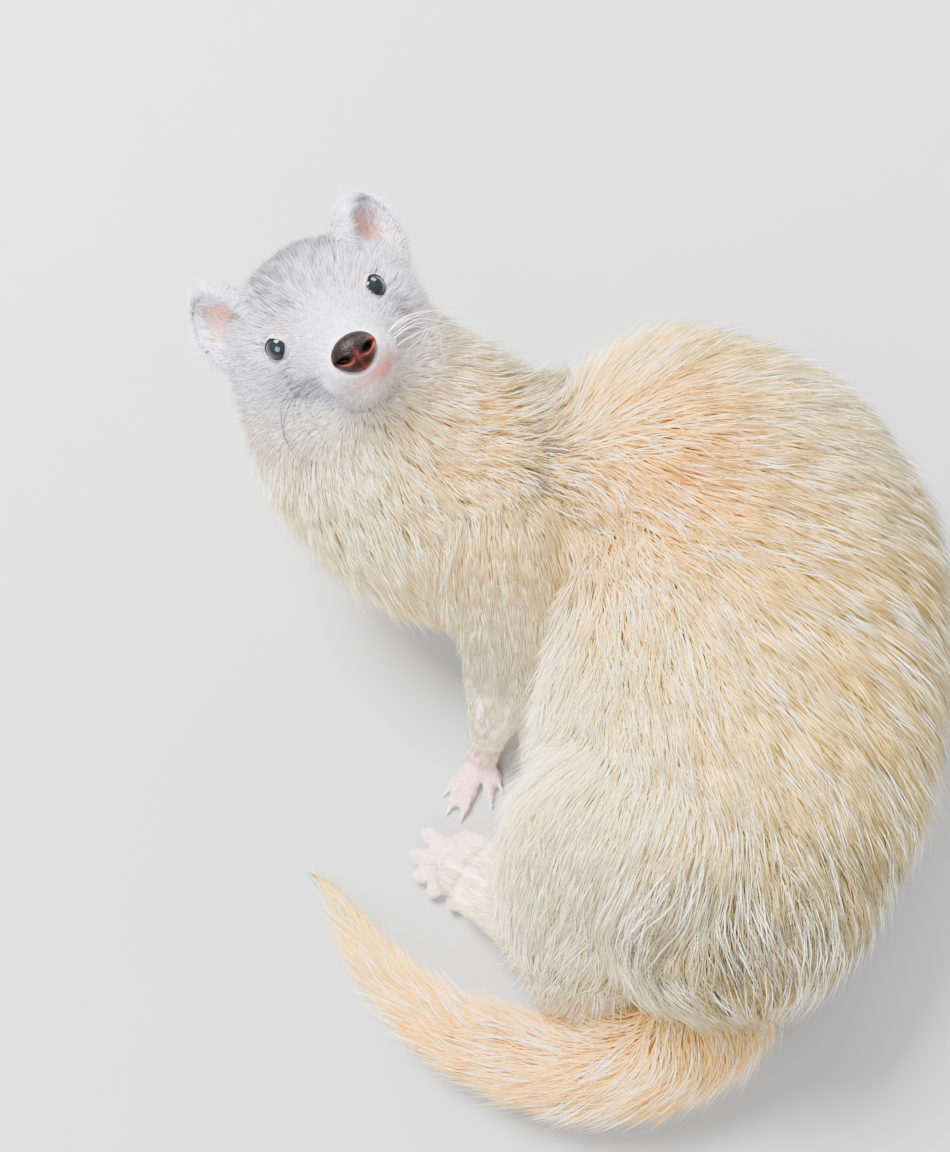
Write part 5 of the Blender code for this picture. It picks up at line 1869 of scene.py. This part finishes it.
@dataclass
class Ferret:
    """The whole animal."""

    seed: int = 5
    skin_triangles: int = 150000
    quick: bool = field(default_factory=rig.quick)

    def skin(self) -> tuple[bpy.types.Object, Surface]:
        """The one skin under the coat."""
        obj = Form(1.0, 0.5).build("skin", 0.95 if not self.quick else 1.4, 6, self.skin_triangles)
        eyes = Eyes()
        points = eyes.sink(coords(obj.data))
        points[:, 2] = np.maximum(points[:, 2], FLOOR + 0.15)
        points = self.softened(obj.data, points)
        set_coords(obj.data, points)
        outline = Form(0.0, 0.0).build("outline", 2.4, 3, 60000)
        mesh = outline.data
        mesh.calc_loop_triangles()
        corners = np.empty(len(mesh.loop_triangles) * 3, np.int32)
        mesh.loop_triangles.foreach_get("vertices", corners)
        tree = BVHTree.FromPolygons(coords(mesh).tolist(), corners.reshape(-1, 3).tolist())
        bpy.data.objects.remove(outline)
        surface = Surface(obj, tree)
        for middle, reach, deeper in FLUFF:
            offset = (surface.points - np.array(middle)) / np.array(reach)
            surface.depth += deeper * np.exp(-(offset**2).sum(axis=1))
        LOG.info("skin: %d triangles", len(surface.corners))
        return obj, surface

    @staticmethod
    def softened(mesh: bpy.types.Mesh, points: np.ndarray) -> np.ndarray:
        """Rounds off the body's creases, but not the face, the paws or the tail's tip.

        Args:
            mesh: The skin.
            points: Its points.

        Returns:
            The moved points.
        """
        mesh.calc_loop_triangles()
        corners = np.empty(len(mesh.loop_triangles) * 3, np.int32)
        mesh.loop_triangles.foreach_get("vertices", corners)
        rounded = eased(points, corners.reshape(-1, 3), 30)
        deeper = eased(rounded, corners.reshape(-1, 3), 90)
        near_arm = np.exp(-((((points - ARM_TOP) / ARM_REACH) ** 2).sum(axis=1)))[:, None]
        rounded += (deeper - rounded) * near_arm
        _, shares = SKELETON.read(points, np.tile(UP, (len(points), 1)))
        body = shares[:, [r.value for r in (Region.NECK, Region.TRUNK, Region.ARM, Region.HAUNCH)]].sum(axis=1)
        return points + (rounded - points) * body[:, None]

    def dress(self, surface: Surface, coat: Coat) -> None:
        """Grows every piece of the coat."""
        density = surface.style("density")
        local = HEAD.into(surface.points)
        under = smooth_step(-0.75, -0.2, surface.normals[:, 2])
        low = smooth_step(FLOOR + 0.1, FLOOR + 1.0, surface.points[:, 2])
        density = density * (0.15 + 0.85 * under) * (0.1 + 0.9 * low)
        bare = np.ones(len(local))
        for side in (1, -1):
            centre, axis, _, _ = Eyes().frame_of(side)
            rel = local - centre
            off = np.linalg.norm(rel - (rel @ axis)[:, None] * axis, axis=1)
            near = np.linalg.norm(rel, axis=1) < 9
            bare *= np.where(near, smooth_step(3.3, 4.2, off), 1.0)
        bare *= smooth_step(4.9, 6.2, np.linalg.norm((local - NOSE_AT) * [1, 0.88, 1.05], axis=1))
        density = density * bare
        face = 1 - smooth_step(10, 44, np.linalg.norm(local - np.array([30.0, 0, -12]), axis=1))
        head = surface.shares[:, Region.HEAD.value]
        shorter = 1 - 0.72 * face * head
        length = surface.style("length") * shorter
        grow = {
            "length": length,
            "width": surface.style("width") * (1 - 0.25 * face * head),
        }
        original = surface.style

        def style(name: str) -> np.ndarray:
            """The blended style with the face's own shorter, finer hair."""
            return grow[name] if name in grow else original(name)

        surface.style = style
        owner = surface.shares.argmax(axis=1)
        y = surface.points[:, 1]
        body = np.isin(owner, [Region.TRUNK.value, Region.HAUNCH.value])
        face_part = (owner == Region.HEAD.value) & (local[:, 0] > -12)
        limbs = np.isin(owner, [Region.ARM.value, Region.LEG.value, Region.PAW.value])
        crown = (owner == Region.HEAD.value) & ~face_part
        down = {"gather": 0.1, "raised": 0.7, "thin": 2.2, "longer": 0.9}
        plans = (
            ("coat_face", face_part, 1.3, 1, {"lock": 8, "proud": 0.7}),
            ("coat_face_down", face_part, 0.3, 1, {"gather": 0.2, "raised": 0.6, "thin": 1.8}),
            ("coat_crown", crown, 1.3, 1, {"lock": 8, "proud": 1.9}),
            ("coat_neck", owner == Region.NECK.value, 1.15, 2, {}),
            ("coat_limbs", limbs, 1.15, 1, {"proud": 0.8}),
            ("coat_tail", owner == Region.TAIL.value, 1.35, 2, {"proud": 1.8, "gather": 1.3}),
            ("coat_shoulder", body & (y > -10), 1.2, 2, {}),
            ("coat_flank", body & (y <= -10) & (y > -62), 1.2, 2, {}),
            ("coat_rump", body & (y <= -62), 1.2, 2, {}),
            ("coat_down", np.isin(owner, FURRED), 0.32, 1, {**down, "proud": 0.4}),
        )
        share = 0.35 if self.quick else 1.0
        for name, mask, dense, rings, options in plans:
            weight = density * mask
            area = (surface.areas * weight[surface.corners].mean(axis=1)).sum()
            wanted = int(area * share * dense)
            bunches = max(1, math.ceil(wanted / (16000 if rings == 2 else 30000)))
            for k in range(bunches):
                label = name if bunches == 1 else f"{name}_{k + 1}"
                piece = coat.grow(label, weight, wanted // bunches, rings, **options)
                slot = Slot.HEAD_FUR if "face" in name or "crown" in name else Slot.BODY_FUR
                settle(piece, slot)
        self.guard(surface, coat, density, share)
        LOG.info("coat: %d triangles", coat.triangles)

    def guard(self, surface: Surface, coat: Coat, density: np.ndarray, share: float) -> None:
        """The long guard hairs, dark ones where the back, hip and nape are grizzled."""
        points = surface.points
        local = HEAD.into(points)
        owner = surface.shares.argmax(axis=1)
        furred = np.isin(owner, FURRED)
        head = owner == Region.HEAD.value
        paws = owner == Region.PAW.value
        for name, marks, base, places, mask, count, rings, tint, options in (
            (
                "coat_grizzle", GRIZZLE, 0.05, points, furred, 6000, 2, Coat.dark,
                {"longer": 1.1, "proud": 1.6, "thin": 0.6},
            ),
            (
                "coat_face_grizzle", FACE_GRIZZLE, 0.0, local, head, 5400, 1, Coat.dark,
                {"longer": 1.0, "proud": 0.5, "thin": 1.0},
            ),
            (
                "coat_frost", (), 1.0, points, furred, 9000, 2, Ears.tint,
                {"longer": 1.15, "proud": 4.0, "thin": 0.75, "gather": 0.8},
            ),
            (
                "coat_breech", BREECH, 0.0, points, furred, 2400, 2, None,
                {"longer": 1.3, "proud": 3.5, "raised": 1.1},
            ),
            (
                "coat_toes", TOES, 0.0, points, paws, 900, 1, Ears.tint,
                {"longer": 1.3, "proud": 1.0, "gather": 2.0},
            ),
        ):
            weight = base + sum(
                strength * np.exp(-(((places - np.array(at)) / np.array(reach)) ** 2).sum(axis=1))
                for at, reach, strength in marks
            )
            piece = coat.grow(name, density * mask * weight, int(count * share), rings, tint=tint, **options)
            slot = Slot.HEAD_FUR if "face" in name else Slot.PAWS if "toes" in name else Slot.BODY_FUR
            settle(piece, slot)

    def build(self) -> None:
        """Makes every piece of the animal."""
        rng = np.random.default_rng(self.seed)
        obj, surface = self.skin()
        unwrap = Unwrap(obj)
        LOG.info("unwrap ready")
        coat = Coat(surface, unwrap, rng)
        Eyes().build()
        Nose().build()
        Mouth().build(surface)
        Claws().build()
        Whiskers(np.random.default_rng(11)).build(surface)
        Ears().build(coat)
        self.dress(surface, coat)
        paint(obj.data, Markings.base(surface.points, surface.shares) * 0.95)
        obj.data.materials.append(SKIN_FINISH.material())
        settle(obj, Slot.BODY_FUR, FLESH)


@dataclass
class Studio:
    """The plain floor, the soft lights and the camera."""

    tilt: float = 68.0
    distance: float = 0.55
    lens: float = 59.3
    aim: tuple[float, float, float] = (0.0, 0.0, 40.0)

    def floor(self) -> None:
        """A plain pale sheet that curves up behind."""
        solid = Solid()
        profile = [(-2.5, 0.0), (1.2, 0.0)]
        for k in range(1, 9):
            angle = math.pi / 2 * k / 8
            profile.append((1.2 + 0.6 * math.sin(angle), 0.6 - 0.6 * math.cos(angle)))
        profile.append((1.8, 2.4))
        points, faces = [], []
        for y, z in profile:
            points += [(-2.5, y, z), (2.5, y, z)]
        for i in range(len(profile) - 1):
            faces.append((2 * i, 2 * i + 1, 2 * i + 3, 2 * i + 2))
        mesh = mesh_from("studio_floor", np.array(points), faces)
        mesh.materials.append(FLOOR_FINISH.material())
        mesh.shade_smooth()
        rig.stage(new_object("studio_floor", mesh))

    def lamp(self, name: str, at: tuple[float, float, float], size: float, power: float) -> None:
        """A soft square lamp that faces the animal."""
        light = bpy.data.lights.new(name, "AREA")
        light.size = size
        light.energy = power
        obj = bpy.data.objects.new(name, light)
        bpy.context.scene.collection.objects.link(obj)
        obj.location = at
        way = Vector((0, 0, 0.05)) - Vector(at)
        obj.rotation_euler = way.to_track_quat("-Z", "Y").to_euler()

    def camera(self) -> None:
        """The camera at the photograph's angle."""
        data = bpy.data.cameras.new("view")
        data.lens = self.lens
        data.sensor_width = 36.0
        obj = bpy.data.objects.new("view", data)
        bpy.context.scene.collection.objects.link(obj)
        tilt = math.radians(self.tilt)
        aim = Vector(PLACEMENT.place(np.array(self.aim)))
        forward = Vector((0, math.cos(tilt), -math.sin(tilt)))
        # The aim lies in the middle of the frame's width, so no shift is needed.
        obj.location = aim - forward * self.distance
        obj.rotation_euler = forward.to_track_quat("-Z", "Y").to_euler()
        bpy.context.scene.camera = obj

    def build(self) -> None:
        """Makes the studio."""
        self.floor()
        world = bpy.data.worlds.new("studio")
        world.use_nodes = True
        backdrop = world.node_tree.nodes["Background"]
        backdrop.inputs["Color"].default_value = (0.94, 0.96, 1.0, 1.0)
        backdrop.inputs["Strength"].default_value = 1.0
        bpy.context.scene.world = world
        self.lamp("key", (-0.6, 0.45, 1.2), 0.6, 126.0)
        self.lamp("fill", (-0.5, -0.9, 0.9), 0.8, 28.0)
        self.lamp("rim", (0.3, 1.0, 0.7), 0.5, 24.0)
        self.camera()
        LOG.info("studio")


def corners_of(bounds: tuple) -> list[list[float]]:
    """A box as plain lists."""
    return [list(map(float, corner)) for corner in bounds]


def main() -> None:
    """Builds every piece in order and writes the sizes."""
    solids = corners_of(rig.bounds())
    Studio().build()
    Ferret().build()
    dressed = corners_of(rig.bounds())
    with open(SIZE_FILE, "w") as out:
        json.dump({"cad": solids, "visual": dressed}, out)
    LOG.info("solids %s dressed %s", solids, dressed)


if __name__ == "__main__":
    main()
